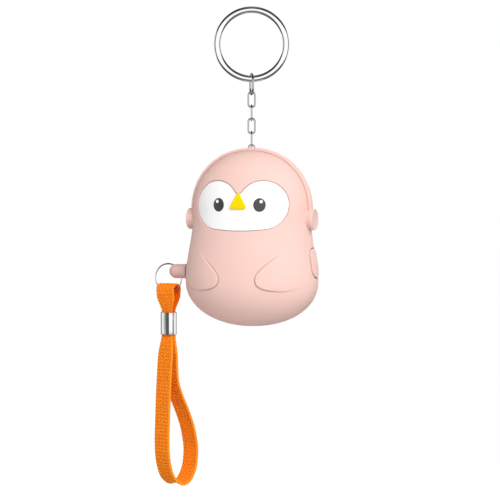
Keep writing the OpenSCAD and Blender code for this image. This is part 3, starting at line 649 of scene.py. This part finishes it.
# rings from a window's border to its outline, across its edge and, where the window rises, on to its middle;
# each point of the border goes to the place on the outline at the same turn
def windowRings(hole, view):
    line, middle = hole["line"], np.array(hole["middle"])
    offsets, lifts, paintedShades = hole["steps"]
    lineTurn, viewTurn = turnIn(line - middle), turnIn(view - middle)
    outward = loopTangents(line)[:, ::-1] * [1, -1]
    edge, away = (np.stack([np.interp(viewTurn, lineTurn, v[:, k], period=2 * np.pi) for k in (0, 1)], -1)
                  for v in (line, outward))
    away = unit(away)
    start = edge + away * opening["lead"] * offsets[0]
    spread = [view * (1 - w) + start * w for w in np.linspace(0, 1, hole["spread"] + 1)[1:]]
    plan = np.stack(spread + [edge + away * d for d in offsets])
    # each step's painted shade goes onto the rings; over a wing it fades with the wing's height
    lift, paintedShade = (np.concatenate([np.zeros(len(spread)), v])[:, None] * np.ones(len(view)) for v in (lifts, paintedShades))
    if hole["rise"]:
        inner = middle + (plan[-1] - middle) * np.linspace(1, wing["heart"], wing["rings"])[1:, None, None]
        plan = np.concatenate([plan, inner])
        lift = np.concatenate([lift, np.full(inner.shape[:2], lifts[-1])])
        paintedShade = np.concatenate([paintedShade, np.zeros(inner.shape[:2])])
        scale = hole["rise"](plan[..., 0], plan[..., 1])
        lift, paintedShade = lift * scale, paintedShade * scale
    return plan, lift, paintedShade


# the round hole in the crown: the last row runs on to a circle and then down
def crownRings(columns, lastGone):
    row = np.interp(lastGone, outS, outR) * np.stack([np.sin(columns), -body["ratio"] * np.cos(columns)])
    circle = crown["hole"] * np.stack([np.sin(columns), -np.cos(columns)])
    share = np.linspace(1, 0, crown["rings"])[1:, None, None]
    x, y = np.moveaxis(np.concatenate([row * share + circle * (1 - share), [circle, circle]]), 1, 0)
    top, turn = outH > body["domeZ"], np.arctan2(x, -y / body["ratio"])
    gone = np.interp(np.hypot(x, y / body["ratio"]), outR[top][::-1], outS[top][::-1])
    drop = np.array(crown["drop"])[:, None] * np.ones(len(columns))
    return turn if columns[0] < 0 else np.mod(turn, 2 * np.pi), gone, drop


# half of the housing: a grid with windows; each window is filled by rings that run to a hole's edge or over a wing
def shellHalf(name, node, columns, rows, windows):
    phi, gone = [v.ravel() for v in np.meshgrid(columns, rows)]
    index = np.arange(len(rows) * len(columns)).reshape(len(rows), len(columns))
    keep = np.ones((len(rows) - 1, len(columns) - 1), bool)
    flangeLeft, flangeRight = np.ones(len(rows) - 1, bool), np.ones(len(rows) - 1, bool)
    parts, faceSets, total = [(phi, gone, np.zeros_like(phi), np.zeros_like(phi))], [], len(phi)

    def addPart(newPhi, newGone, lift, paintedShade):
        parts.append(tuple(np.broadcast_to(v, np.shape(newPhi)).ravel() for v in (newPhi, newGone, lift, paintedShade)))
        return total + np.size(newPhi)

    for hole in windows:
        c0, c1 = sorted(int(np.abs(columns - v).argmin()) for v in hole["columns"])
        r0, r1 = (int(np.abs(rows - v).argmin()) for v in hole["rows"])
        keep[r0:r1, c0:c1] = False
        closed = c0 > 0 and c1 < len(columns) - 1
        if closed:
            loop = np.concatenate([index[r0, c0:c1], index[r0:r1, c1], index[r1, c1:c0:-1], index[r1:r0:-1, c0]])
        elif c0 == 0:
            loop = np.concatenate([index[r0, :c1], index[r0:r1, c1], index[r1, c1::-1]])
            flangeLeft[r0:r1] = False
        else:
            loop = np.concatenate([index[r1, c1:c0:-1], index[r1:r0:-1, c0], index[r0, c0:c1 + 1]])
            flangeRight[r0:r1] = False
        plan, lift, paintedShade = windowRings(hole, hole["view"](phi[loop], gone[loop]))
        rings = np.vstack([loop, total + np.arange(lift.size).reshape(lift.shape)])
        if closed:
            rings = np.hstack([rings, rings[:, :1]])
        faceSets.append(quadsOf(rings))
        total = addPart(*hole["place"](plan[..., 0], plan[..., 1]), lift, paintedShade)
        if hole["rise"]:
            heart = plan[-1].mean(0)
            faceSets.append(fanFaces(total, rings[-1]))
            total = addPart(*hole["place"](heart[:1], heart[1:]), lift[-1].mean(), 0.0)
    faceSets.append(quadsOf(index)[keep.ravel()])
    turn, along, drop = crownRings(columns, rows[-1])
    faceSets.append(quadsOf(np.vstack([index[-1], total + np.arange(drop.size).reshape(drop.shape)])))
    total = addPart(turn, along, drop, 0.0)
    # the middle of the base, and the flanges along the parting plane, painted fully in shade
    faceSets.append(fanFaces(total, index[0][::-1]))
    total = addPart(np.array([columns.mean()]), np.zeros(1), 0.0, 0.0)
    for column, whole, flip in ((0, flangeLeft, True), (len(columns) - 1, flangeRight, False)):
        inner, outer = total + np.arange(len(rows)), index[:, column]
        quads = np.stack([outer[:-1], inner[:-1], inner[1:], outer[1:]], -1)[whole]
        faceSets.append(quads[:, ::-1] if flip else quads)
        total = addPart(np.full(len(rows), columns[column]), rows, -seam["flange"], 1.0)
    phi, gone, lift, paintedShade = (np.concatenate([part[k] for part in parts]) for k in range(4))
    # painted shade along the parting seam, strongest at the seam and fading over its rounding
    parting = np.clip(1 - (np.abs(sideView(phi, gone)[..., 0]) - seam["gap"]) / seam["round"], 0, 1)
    points = bodyPoint(phi, gone, lift - seam["drop"] * parting ** 2) + [0, 0, bodyBase]
    return makePiece(name, points, faceSets, "alarm", [node], "shell_pink", inside=bodyHeart,
                     values={"paintedShade": np.maximum(paintedShade, seam["shade"] * parting)})


# columns at even distances round the oval plan, with two more close to each end
def columnsFor(middle, count):
    t = np.linspace(-np.pi / 2, np.pi / 2, 4001)
    gone = distances(np.stack([np.sin(t), body["ratio"] * np.cos(t)], -1))
    even = np.interp(np.linspace(0, gone[-1], count + 1), gone, t)
    reach = body["ratio"] * body["belly"]
    end = np.pi / 2 - seam["gap"] / reach
    near = np.array([0.06, 0.16]) / reach
    inner = even[np.abs(even) < end - near[-1] * 1.6]
    return middle + np.concatenate([[-end], -end + near, inner, end - near[::-1], [end]])


# rows from height to height, with a count for each stretch, at even distances along the outline
def rowsFor(heights, counts):
    parts = [np.linspace(goneAt(a), goneAt(b), n, endpoint=False) for a, b, n in zip(heights, heights[1:], counts)]
    return np.concatenate(parts + [[goneAt(heights[-1])]])


# a window in the grid: an outline in one of the views, the steps across its edge, and how many rings lead up to it
def window(columns, low, high, view, place, line, middle, steps, spread, rise=None):
    return {"columns": columns, "rows": (goneAt(low), goneAt(high)), "view": view, "place": place, "line": line,
            "middle": middle, "steps": steps, "spread": spread, "rise": rise}


button = {"height": 10.8, "width": 6.6, "z": 23.9, "gap": 0.3, "rise": 0.35, "windowY": 4.9, "windowZ": 7.0}
pin = {"z": 20.0, "hole": 3.0, "window": 2.8}
crownStart = float(np.interp(-crown["edge"], -outR[outH > body["domeZ"]], outH[outH > body["domeZ"]]))
frontGrid = {"columns": 264, "counts": (8, 40, 96, 4, 80, 28, 24),
             "heights": (body["baseStart"], body["baseRound"], wing["low"], wing["high"], face["low"], face["high"],
                         crown["low"], crownStart)}
rearGrid = {"columns": 190, "counts": (8, 14, 24, 16, 44, 22, 56, 30, 26),
            "heights": (body["baseStart"], body["baseRound"], 4.0, 10.4, 16.4, 30.4, 36.0, 54.0, crown["low"],
                        crownStart)}
frontColumns, rearColumns = columnsFor(0.0, frontGrid["columns"]), columnsFor(np.pi, rearGrid["columns"])
frontRows, rearRows = (rowsFor(grid["heights"], grid["counts"]) for grid in (frontGrid, rearGrid))


# the windows of the two halves: face, wings, light button, pull pin, sound slots and screws
def faceWindow():
    turn = frontTurn(face["windowX"], face["windowZ"])
    return window((-turn, turn), face["low"], face["high"], frontView, frontPlace, faceLine(0.0), face["middle"],
                  lipSteps(face["lip"], face["wall"]), face["spread"])


def wingWindow(side):
    columns = (side * frontTurn(wing["windowX"], wing["windowZ"]), side * math.radians(wing["windowTurn"]))
    return window(columns, wing["low"], wing["high"], frontView, frontPlace, wingLine(side),
                  (side * wing["middle"][0], wing["middle"][1]), wingSteps(), wing["spread"],
                  wingRise)


def pillWindow(columns):
    z, reach, gap = button["z"], button["windowZ"], 2 * button["gap"]
    line = stadiumLine(0, z, button["width"] + gap, button["height"] + gap)
    return window(columns, z - reach, z + reach, sideView, rightPlace, line, (0.0, z),
                  lipSteps(opening["lip"], opening["wall"]), opening["spread"])


def pinWindow(columns, place):
    z, reach = pin["z"], pin["window"]
    return window(columns, z - reach, z + reach, sideView, place, circleLine(0, z, pin["hole"] / 2), (0.0, z),
                  lipSteps(opening["pinLip"], opening["wall"]), opening["spread"])


frontShell = shellHalf("frontShell", "front_shell", frontColumns, frontRows, [
    faceWindow(), wingWindow(-1), wingWindow(1),
    pillWindow((sideTurn(-button["windowY"], button["z"]), frontColumns[-1])),
    pinWindow((frontColumns[0], -sideTurn(-pin["window"], pin["z"])), leftPlace)])
print("front shell made:", len(frontShell.data.polygons), "faces")

slots = {"count": 5, "width": 1.5, "step": 3.1, "field": 18.0, "z": 42.7, "level": 43, "wall": 1.6, "reach": 1.0,
         "spread": 3}
screws = {"x": 18.0, "z": 33.0, "lowZ": 7.2, "recess": 4.0, "wall": 2.0, "reach": 2.9}


# a window in the back round a place, with the columns taken at a level
def rearWindow(x, z, wide, high, level, line, wall, spread):
    columns = (np.pi - frontTurn(x - wide, level), np.pi - frontTurn(x + wide, level))
    return window(columns, z - high, z + high, frontView, rearPlace, line, (x, z), lipSteps(opening["lip"], wall),
                  spread)


def rearWindows():
    windows, z = [], slots["z"]
    for i in range(slots["count"]):
        x = (i - (slots["count"] - 1) / 2) * slots["step"]
        half = math.sqrt((slots["field"] / 2) ** 2 - x * x)
        windows.append(rearWindow(x, z, slots["step"] / 2, half + slots["reach"], slots["level"],
                                  stadiumLine(x, z, slots["width"], 2 * half), slots["wall"], slots["spread"]))
    for x, z in ((-screws["x"], screws["z"]), (screws["x"], screws["z"]), (0.0, screws["lowZ"])):
        windows.append(rearWindow(x, z, screws["reach"], screws["reach"], z, circleLine(x, z, screws["recess"] / 2),
                                  screws["wall"], opening["spread"]))
    return windows + [pillWindow((rearColumns[0], sideTurn(button["windowY"], button["z"]))),
                      pinWindow((2 * np.pi - sideTurn(pin["window"], pin["z"]), rearColumns[-1]), leftRearPlace)]


rearShell = shellHalf("rearShell", "rear_shell", rearColumns, rearRows, rearWindows())
print("rear shell made:", len(rearShell.data.polygons), "faces")


# a plate or cap that fills an outline: rings from the middle to the edge, then down its side;
# it is lifted along the body's normal, or straight along a given direction
def capMesh(line, middle, shares, lifts, place, forward=None):
    middle = np.array(middle)
    plan = middle + (line - middle)[None] * np.asarray(shares)[:, None, None]
    phi, gone = place(plan[..., 0], plan[..., 1])
    lift = np.asarray(lifts, float)[:, None] * np.ones(len(line))
    if forward is None:
        points = bodyPoint(phi, gone, lift)
    else:
        points = bodyPoint(phi, gone, np.zeros_like(lift)) + lift[..., None] * np.array(forward)
    points = np.vstack([points.reshape(-1, 3), points[0].mean(0)]) + [0, 0, bodyBase]
    loop = np.append(np.arange(len(line)), 0)[::-1]
    return points, [gridFaces(len(shares), len(line), wrapCols=True), fanFaces(len(points) - 1, loop)]


# a piece of one or more caps
def capPiece(name, caps, nodes, slotName, rideOn="alarm"):
    points, faces, total = [], [], 0
    for cap in caps:
        capPoints, capFaces = capMesh(*cap)
        points.append(capPoints)
        faces += [f + total for f in capFaces]
        total += len(capPoints)
    return makePiece(name, np.vstack(points), faces, rideOn, nodes, slotName, inside=bodyHeart)


frontOut = (0.0, -1.0, 0.0)
plateShares = np.concatenate([np.linspace(0.02, 0.99, 48), [1.0, 1.0]])
plateLift = np.concatenate([np.full(48, -face["inset"]), [-face["inset"] - 0.03, -1.2]])
capPiece("facePlate", [(faceLine(0.04, 640), face["middle"], plateShares, plateLift, frontPlace, frontOut)],
         ["face_plate"], "face_white")

# eyes: dark ovals, each with a white spot towards its upper outside
eyes = {"x": 8.0, "z": 45.45, "width": 4.5, "height": 5.05, "spotX": 0.6, "spotZ": 1.25, "spot": 1.2, "rise": 0.05}
eyeShares = np.array([0.02, 0.25, 0.5, 0.75, 0.9, 0.96, 0.985, 1.0, 1.0])
eyeLift = np.array([1, 1, 1, 1, 1, 0.9, 0.6, 0.0, -8.0]) * eyes["rise"] - face["inset"]
spotShares = np.array([0.02, 0.6, 0.93, 1.0, 1.0])
spotLift = np.array([0.085, 0.085, 0.08, 0.06, -0.2]) - face["inset"]
spots = []
for side, word in ((-1, "left"), (1, "right")):
    x, z = side * eyes["x"], eyes["z"]
    capPiece(word + "Eye", [(ellipseLine(x, z, eyes["width"], eyes["height"], 120), (x, z), eyeShares, eyeLift,
                             frontPlace, frontOut)], [word + "_eye"], "eye_dark")
    x, z = side * (eyes["x"] + eyes["spotX"]), eyes["z"] + eyes["spotZ"]
    spots.append((circleLine(x, z, eyes["spot"] / 2, 60), (x, z), spotShares, spotLift, frontPlace, frontOut))
capPiece("eyeSpots", spots, ["eye_glints"], "glint_white")

beak = {"width": 7.1, "height": 6.6, "z": 43.95, "corner": 0.7}


# beak outline: a triangle standing on its base with rounded corners
def beakLine(count=240):
    w, h, r = beak["width"] / 2, beak["height"], beak["corner"]
    tri = np.array([[w, beak["z"]], [0, beak["z"] + h], [-w, beak["z"]]])
    slope = math.atan2(h, w)
    inR = math.tan(slope / 2) * w
    heart = np.array([0, beak["z"] + inR])
    centres = heart + (tri - heart) * (1 - r / inR)
    starts = np.array([-math.pi / 2, math.pi / 2 - slope, math.pi / 2 + slope])
    ends = np.array([math.pi / 2 - slope, math.pi / 2 + slope, 3 * math.pi / 2])
    t = starts[:, None] + (ends - starts)[:, None] * np.linspace(0, 1, 30)[None]
    arcs = (centres[:, None, :] + r * np.stack([np.cos(t), np.sin(t)], -1)).reshape(-1, 2)
    return evenLoop(arcs, count), heart


beakEdge, beakHeart = beakLine()
beakShares = np.array([0.03, 0.3, 0.55, 0.72, 0.83, 0.9, 0.95, 0.98, 1.0, 1.0])
beakLift = np.array([0.3, 0.3, 0.29, 0.28, 0.26, 0.23, 0.18, 0.12, 0.02, -0.86])
capPiece("beakPiece", [(beakEdge, beakHeart, beakShares, beakLift, frontPlace, frontOut)], ["beak"], "beak_yellow")
print("face made")

# light button: a pill that follows the side of the body and stands a little proud of it
buttonShares = np.array([0.02, 0.3, 0.6, 0.8, 0.9, 0.945, 0.97, 0.985, 0.995, 1.0, 1.0])
buttonLift = button["rise"] - np.array([0, 0, 0, 0, 0.0, 0.015, 0.05, 0.1, 0.17, 0.27, 2.2])
capPiece("lightButton", [(stadiumLine(0, button["z"], button["width"], button["height"], 320), (0.0, button["z"]),
                          buttonShares, buttonLift, rightPlace)], ["light_button"], "shell_pink", "light_button")

# headband: a rounded strip that stands on the seam, over the crown from ear to ear
band = {"width": 3.0, "rise": 1.0, "edge": 0.35, "sink": 0.12, "dome": 0.06, "cupZ": 40.0,
        "sideLifts": (0.05, 0.2, 0.45), "shadeLow": 0.05, "shadeReach": 0.45, "archCount": 260, "footRows": 12}


# body point over the crown for an arch angle and a depth: the distance out from the dome's centre at which
# the superellipse of the crown is met, found by halving
def crownPoint(arch, depth):
    n, k = 2 / body["power"], body["ratio"]
    tall = body["height"] - body["domeZ"]
    low, high = np.zeros_like(arch), np.full_like(arch, 40.0)
    for _ in range(50):
        mid = (low + high) / 2
        r = np.sqrt((mid * np.cos(arch)) ** 2 + (depth / k) ** 2)
        out = (r / body["head"]) ** n + np.clip(mid * np.sin(arch) / tall, 0, None) ** n > 1
        low, high = np.where(out, low, mid), np.where(out, mid, high)
    x, z = low * np.cos(arch), low * np.sin(arch)
    r = np.sqrt(x ** 2 + (depth / k) ** 2)
    slope = r ** (n - 2) / body["head"] ** n
    normal = np.stack([slope * x, slope * depth / k ** 2, np.clip(z, 0, None) ** (n - 1) / tall ** n], -1)
    return np.stack([x, depth, z + body["domeZ"]], -1), unit(normal)


# the band's section, as lifts and depths, carried over the arch and straight down to the ear cups at both ends
def headBand():
    half, e, top = band["width"] / 2, band["edge"], band["rise"]
    bend = np.linspace(0, np.pi / 2, 7)
    flat = np.linspace(e - half, half - e, 9)[1:-1]
    sideLift = np.concatenate([[-band["sink"], *band["sideLifts"]], top - e + e * np.sin(bend)])
    sideDepth = np.concatenate([np.full(4, half), half - e + e * np.cos(bend)])
    depth = np.concatenate([-sideDepth, flat, sideDepth[::-1]])
    lift = np.concatenate([sideLift, top + band["dome"] * (1 - (flat / (half - e)) ** 2), sideLift[::-1]])
    archs = np.linspace(0, np.pi, band["archCount"])
    point, normal = crownPoint(*np.broadcast_arrays(archs[:, None], depth[None]))
    arc = point + normal * lift[None, :, None]
    low = np.linspace(band["cupZ"] - body["domeZ"], 0, band["footRows"])[:-1, None, None] * np.array([0, 0, 1.0])
    rows = np.concatenate([arc[:1] + low, arc, arc[-1:] + low[::-1]])
    # painted shade at the band's foot, darker where the band sinks to the body
    paintedShade = np.broadcast_to(np.clip(1 - (lift + band["shadeLow"]) / band["shadeReach"], 0, 1), rows.shape[:2])
    return makePiece("headBand", rows + [0, 0, bodyBase], [gridFaces(*rows.shape[:2])], "alarm", ["headband"],
                     "shell_pink", inside=bodyHeart, values={"paintedShade": paintedShade})


headBand()

cup = {"d": 7.9, "neck": 7.3, "neckX": 21.0, "x": 25.0, "t": 1.3, "z": 40.0, "round": 0.3, "backRound": 0.15,
       "dish": 0.12, "count": 96}


# ear cup outline: a neck out of the head, a wider disc with round edges and a shallow dish in its face
def cupOutline():
    r, n, x, e, b = cup["d"] / 2, cup["neck"] / 2, cup["x"], cup["round"], cup["backRound"]
    bend, rear, low = np.linspace(0, np.pi / 2, 8), cup["x"] - cup["t"], cup["x"] - cup["dish"]
    back = np.stack([r - b + b * np.sin(bend), rear + b - b * np.cos(bend)], -1)
    front = np.stack([r - e + e * np.cos(bend), x - e + e * np.sin(bend)], -1)
    dish = np.array([[r - 0.75, x], [r - 0.85, x - 0.03], [r - 0.95, x - 0.09], [r - 1.08, low], [r * 0.4, low],
                     [0.01, low]])
    neck = np.array([[n, cup["neckX"]], [n, rear - 0.12], [n + 0.03, rear - 0.04], [n + 0.1, rear]])
    return np.vstack([neck, back, front, dish])


# an ear cup: its outline carried round an axis that points out of the head's side
def earCup(side, word):
    outline, t = cupOutline(), fullTurn(cup["count"])
    origin, axis = np.array([0, 0, bodyBase + cup["z"]]), np.array([side, 0.0, 0.0])
    across = np.array([0.0, 0.0, 1.0])
    spoke = np.cos(t)[:, None] * across + np.sin(t)[:, None] * np.cross(axis, across)
    points = origin + outline[:, None, 1:] * axis + outline[:, None, :1] * spoke[None]
    return makePiece(word + "EarCup", points, [gridFaces(len(outline), cup["count"], wrapCols=True)], "alarm",
                     [word + "_ear_cup"], "shell_pink", inside=origin + axis * outline[:, 1].mean())


for side, word in ((-1, "left"), (1, "right")):
    earCup(side, word)
print("headphones and button made")

coil = {"sides": 40, "gap": 0.005, "footShare": 1 / 12, "taper": (0.3, 0.75, 0.95)}


# split ring: two half-round coils, foot to foot; the rear one is open over a few degrees, with tapered ends
def splitRing(name, node, origin, ring, turn):
    parts, faces, sides, count, wide = [], [], coil["sides"], ring["count"], ring["wide"]
    foot = ring["thick"] * coil["footShare"]
    section = domeSection(wide, ring["thick"] / 2 - foot - coil["gap"], foot, sides)
    for rear, out in ((False, -1), (True, 1)):
        a, size, total = fullTurn(count), np.ones(count), len(parts) * count * sides
        if rear:
            a = np.radians(np.linspace(ring["start"], ring["start"] + ring["lap"], count))
            size[:3], size[-3:] = coil["taper"], coil["taper"][::-1]
        radial = np.stack([np.cos(a), np.zeros_like(a), np.sin(a)], -1)
        path = radial * (ring["od"] - wide) / 2 + np.array([0, out * (foot + coil["gap"]), 0])
        axis = np.broadcast_to(np.array([0, float(out), 0]), path.shape)
        parts.append(carry(path, radial, axis, section[None] * size[:, None, None]).reshape(-1, 3))
        faces.append(gridFaces(count, sides, wrapRows=not rear, wrapCols=True)[:, ::out] + total)
        if rear:
            faces += [f + total for f in endFans(count, sides)]
    points = turnZ(np.vstack(parts), turn) + np.array(origin)
    return makePiece(name, points, faces, node, [node], "chain_metal")


chain = {"turn": 20.0, "firstTurn": 12.0, "firstWide": 5.8, "firstWire": 0.8, "wide": 3.1, "wire": 0.65, "sides": 24}
keyRing = {"od": 28.0, "wide": 2.4, "thick": 1.7, "start": 90, "lap": 346, "count": 360}
splitRing("keyRing", "key_ring", (0, 0, 0), keyRing, chain["turn"])


# chain link: a round wire along two straights and two half circles
def chainLink(number, wide, wire, turn):
    node = "chain_link_%d" % number
    low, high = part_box(node)
    length = (high.z - low.z) / mm
    r, straight = (wide - wire) / 2, length - wide
    t = np.linspace(0, np.pi, 40)
    run = np.linspace(straight / 2, -straight / 2, 14)[1:-1]
    topArc = np.stack([-r * np.cos(t), straight / 2 + r * np.sin(t)], -1)
    right = np.stack([np.full_like(run, r), run], -1)
    plan = np.vstack([topArc, right, -topArc, -right])
    tangent, flat = loopTangents(plan), np.zeros(len(plan))
    path = np.stack([plan[:, 0], flat, plan[:, 1]], -1)
    first = np.stack([-tangent[:, 1], flat, tangent[:, 0]], -1)
    second = np.broadcast_to(np.array([0, 1.0, 0]), path.shape)
    points = carry(path, first, second, ovalSection(wire, wire, 2, chain["sides"])).reshape(-1, 3)
    middle = np.array([0, 0, (high.z + low.z) / 2 / mm])
    return makePiece("chainLink%d" % number, turnZ(points, turn) + middle,
                     [gridFaces(len(plan), chain["sides"], True, True)], "link_%d" % number, [node], "chain_metal",
                     look="chain_dull")


chainLink(1, chain["firstWide"], chain["firstWire"], chain["turn"] + 90 + chain["firstTurn"])
for number in range(2, 6):
    chainLink(number, chain["wide"], chain["wire"], chain["turn"] + 90 * (number % 2))

pinRing = {"od": 11.2, "wide": 0.55, "thick": 0.6, "start": 186, "lap": 210, "count": 200}
ringMiddle = np.array([(ringLow.x + ringHigh.x) / 2, 0.0, (ringLow.z + ringHigh.z) / 2]) / mm
splitRing("pinRing", "pin_ring", ringMiddle, pinRing, 0.0)

ferrule = {"wide": 6.2, "deep": 4.6, "thick": 0.4, "power": 3.0, "count": 160}


# ferrule: an oval sleeve with round rims, its wall carried round the oval
def ferrulePiece():
    count, wide, deep, thick = (ferrule[key] for key in ("count", "wide", "deep", "thick"))
    bend, r = np.linspace(-np.pi / 2, np.pi / 2, 9), thick / 2
    rim = np.stack([-r - r * np.sin(bend), ferruleHigh - r + r * np.cos(bend)], -1)
    foot = np.stack([-r + r * np.sin(bend), ferruleLow + r - r * np.cos(bend)], -1)
    wall = np.vstack([rim, foot])
    big = ovalSection(wide, deep, ferrule["power"], count)
    small = ovalSection(wide - 2 * thick, deep - 2 * thick, ferrule["power"], count)
    share = (-wall[:, 0] / thick)[:, None, None]
    plan = big[None] * (1 - share) + small[None] * share
    local = np.concatenate([plan, np.broadcast_to(wall[:, None, 1:], plan.shape[:2] + (1,))], -1)
    points = turnZ(local.reshape(-1, 3), strap["ferruleTurn"]) + strapSpot
    return makePiece("ferrulePiece", points, [gridFaces(len(wall), count, True, True)], "strap", ["strap_ferrule"],
                     "chain_metal")


ferrulePiece()
print("metal parts made")

# the CAD parts that stay: each gets the finish of its slot; the pull pin's grip gets the darker pink of the painted
# shadow
kept = {"chain_eyelet": "chain_dull", "pull_pin_grip": "grip_pink_painted_shadow", "pull_pin_shank": "pin_steel",
        "circuit_board": "board_green", "cell_holder": "part_black", "coin_cells": "cell_steel",
        "cell_clip": "cell_steel", "siren_plate": "brass", "siren_ceramic": "ceramic", "siren_gasket": "gasket",
        "siren_coil": "coil_copper", "driver_chip": "part_black", "face_lights": "glint_white",
        "button_switch": "part_black", "pin_switch": "part_black", "switch_leaves": "brass",
        "case_screws": "pin_steel"}
for node, slotName in kept.items():
    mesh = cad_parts[node].data
    mesh.materials.clear()
    mesh.materials.append(finish[slotName])
print("CAD parts given their finish:", len(kept))

# studio: white surroundings, a broad key light from the right front, soft ones from the left and the rear, and a
# pale floor; lamps have energy, azimuth, elevation, width, height and distance; mirrors see light and dark stretches
# round the horizon (turn from straight ahead in half turns, brightness) and by height (height, brightness)
studio = {"ambient": 0.34, "aimZ": -0.07, "floorZ": -0.3, "floorGrey": 0.7, "floorRough": 0.9, "floorHalf": 6,
          "glow": 1.2, "glowShare": 0.8,
          "lamps": {"keyLight": (6.0, 38, 33, 0.5, 0.6, 0.75), "fillLight": (0.9, -60, 0, 0.5, 0.5, 0.8),
                    "rearLight": (3.4, 168, 24, 0.6, 0.6, 0.8)},
          "horizon": ((-1.0, 0.9), (-0.92, 0.9), (-0.86, 0.08), (-0.78, 0.08), (-0.68, 0.9), (-0.56, 0.9),
                      (-0.51, 0.2), (-0.43, 0.2), (-0.38, 0.9), (-0.31, 0.9), (-0.27, 0.1), (-0.13, 0.1),
                      (-0.08, 1.05), (0.36, 1.05), (0.44, 0.08), (0.56, 0.08), (0.62, 0.9), (0.74, 0.9),
                      (0.82, 0.08), (0.87, 0.08), (0.92, 0.9), (1.0, 0.9)),
          "height": ((-1.0, 0.3), (-0.6, 0.12), (-0.34, 0.2), (-0.22, 1.0), (0.3, 1.0), (0.42, 0.06), (0.93, 0.06),
                     (1.0, 0.7))}


# a soft lamp that mirrors don't see
def softLight(name, energy, azimuth, elevation, wide, high, reach):
    light = bpy.data.lights.new(name, "AREA")
    light.shape, light.size, light.size_y, light.energy = "RECTANGLE", wide, high, energy
    lamp = addObject(name, light)
    lamp.visible_glossy = False
    standAt(lamp, np.array([0, 0, studio["aimZ"]]), azimuth, elevation, reach)


# grey ramp over a value that runs from one reach below nought to one reach above it
def greyRamp(tree, value, reach, stops):
    ramp = nodesOf(tree, "ValToRGB")[0]
    tree.links.new(mapRange(tree, value, -reach, reach).outputs[0], ramp.inputs[0])
    marks = ramp.color_ramp.elements
    while len(marks) < len(stops):
        marks.new(0.5)
    for mark, (place, light) in zip(marks, stops):
        mark.position, mark.color = place / 2 + 0.5, (light, light, light, 1)
    return ramp.outputs[0]


# surroundings: white for the camera, light and dark stretches for mirrors, and an even grey for all other light
def buildWorld():
    world = bpy.data.worlds.new("studioWorld")
    bpy.context.scene.world = world
    world.use_nodes = True
    tree = world.node_tree
    place, split, path, around, flip = nodesOf(tree, "TexCoord", "SeparateXYZ", "LightPath", "Math", "Math")
    around.operation, flip.operation, flip.inputs[1].default_value = "ARCTAN2", "MULTIPLY", -1.0
    linkAll(tree, ((place.outputs["Generated"], split.inputs[0]), (split.outputs[1], flip.inputs[0]),
                   (split.outputs[0], around.inputs[0]), (flip.outputs[0], around.inputs[1])))
    bands = mixColour(tree, "MULTIPLY", 1.0, greyRamp(tree, around.outputs[0], math.pi, studio["horizon"]),
                      greyRamp(tree, split.outputs[2], 1.0, studio["height"]))
    level = (studio["ambient"],) * 3 + (1,)
    mirrored = mixColour(tree, "MIX", path.outputs["Is Glossy Ray"], level, bands)
    seen = mixColour(tree, "MIX", path.outputs["Is Camera Ray"], mirrored, (1, 1, 1, 1))
    tree.links.new(seen, tree.nodes["Background"].inputs["Color"])


# the floor glows a little for the camera, and is clear for mirrors and from below
def buildFloor():
    half = studio["floorHalf"]
    mesh = bpy.data.meshes.new("floor")
    mesh.from_pydata([(-half, -half, 0), (half, -half, 0), (half, half, 0), (-half, half, 0)], [], [(0, 1, 2, 3)])
    floor = addObject("floor", mesh)
    floor.location.z = studio["floorZ"]
    pale = plain("paleFloor", (studio["floorGrey"],) * 3, studio["floorRough"], gloss=0.0)
    tree = pale.node_tree
    seen, under, share, hidden = nodesOf(tree, "LightPath", "NewGeometry", "Math", "Math")
    glow, clear, lit, shown = nodesOf(tree, "Emission", "BsdfTransparent", "MixShader", "MixShader")
    share.operation, share.inputs[1].default_value, hidden.operation = "MULTIPLY", studio["glowShare"], "MAXIMUM"
    glow.inputs["Strength"].default_value = studio["glow"]
    linkAll(tree, ((seen.outputs["Is Camera Ray"], share.inputs[0]), (share.outputs[0], lit.inputs[0]),
                   (tree.nodes["Principled BSDF"].outputs[0], lit.inputs[1]), (glow.outputs[0], lit.inputs[2]),
                   (seen.outputs["Is Glossy Ray"], hidden.inputs[0]), (under.outputs["Backfacing"], hidden.inputs[1]),
                   (hidden.outputs[0], shown.inputs[0]), (lit.outputs[0], shown.inputs[1]),
                   (clear.outputs[0], shown.inputs[2]),
                   (shown.outputs[0], tree.nodes["Material Output"].inputs["Surface"])))
    mesh.materials.append(pale)


buildWorld()
for name, values in studio["lamps"].items():
    softLight(name, *values)
buildFloor()
bpy.context.scene.view_settings.view_transform = "Standard"
print("studio built")
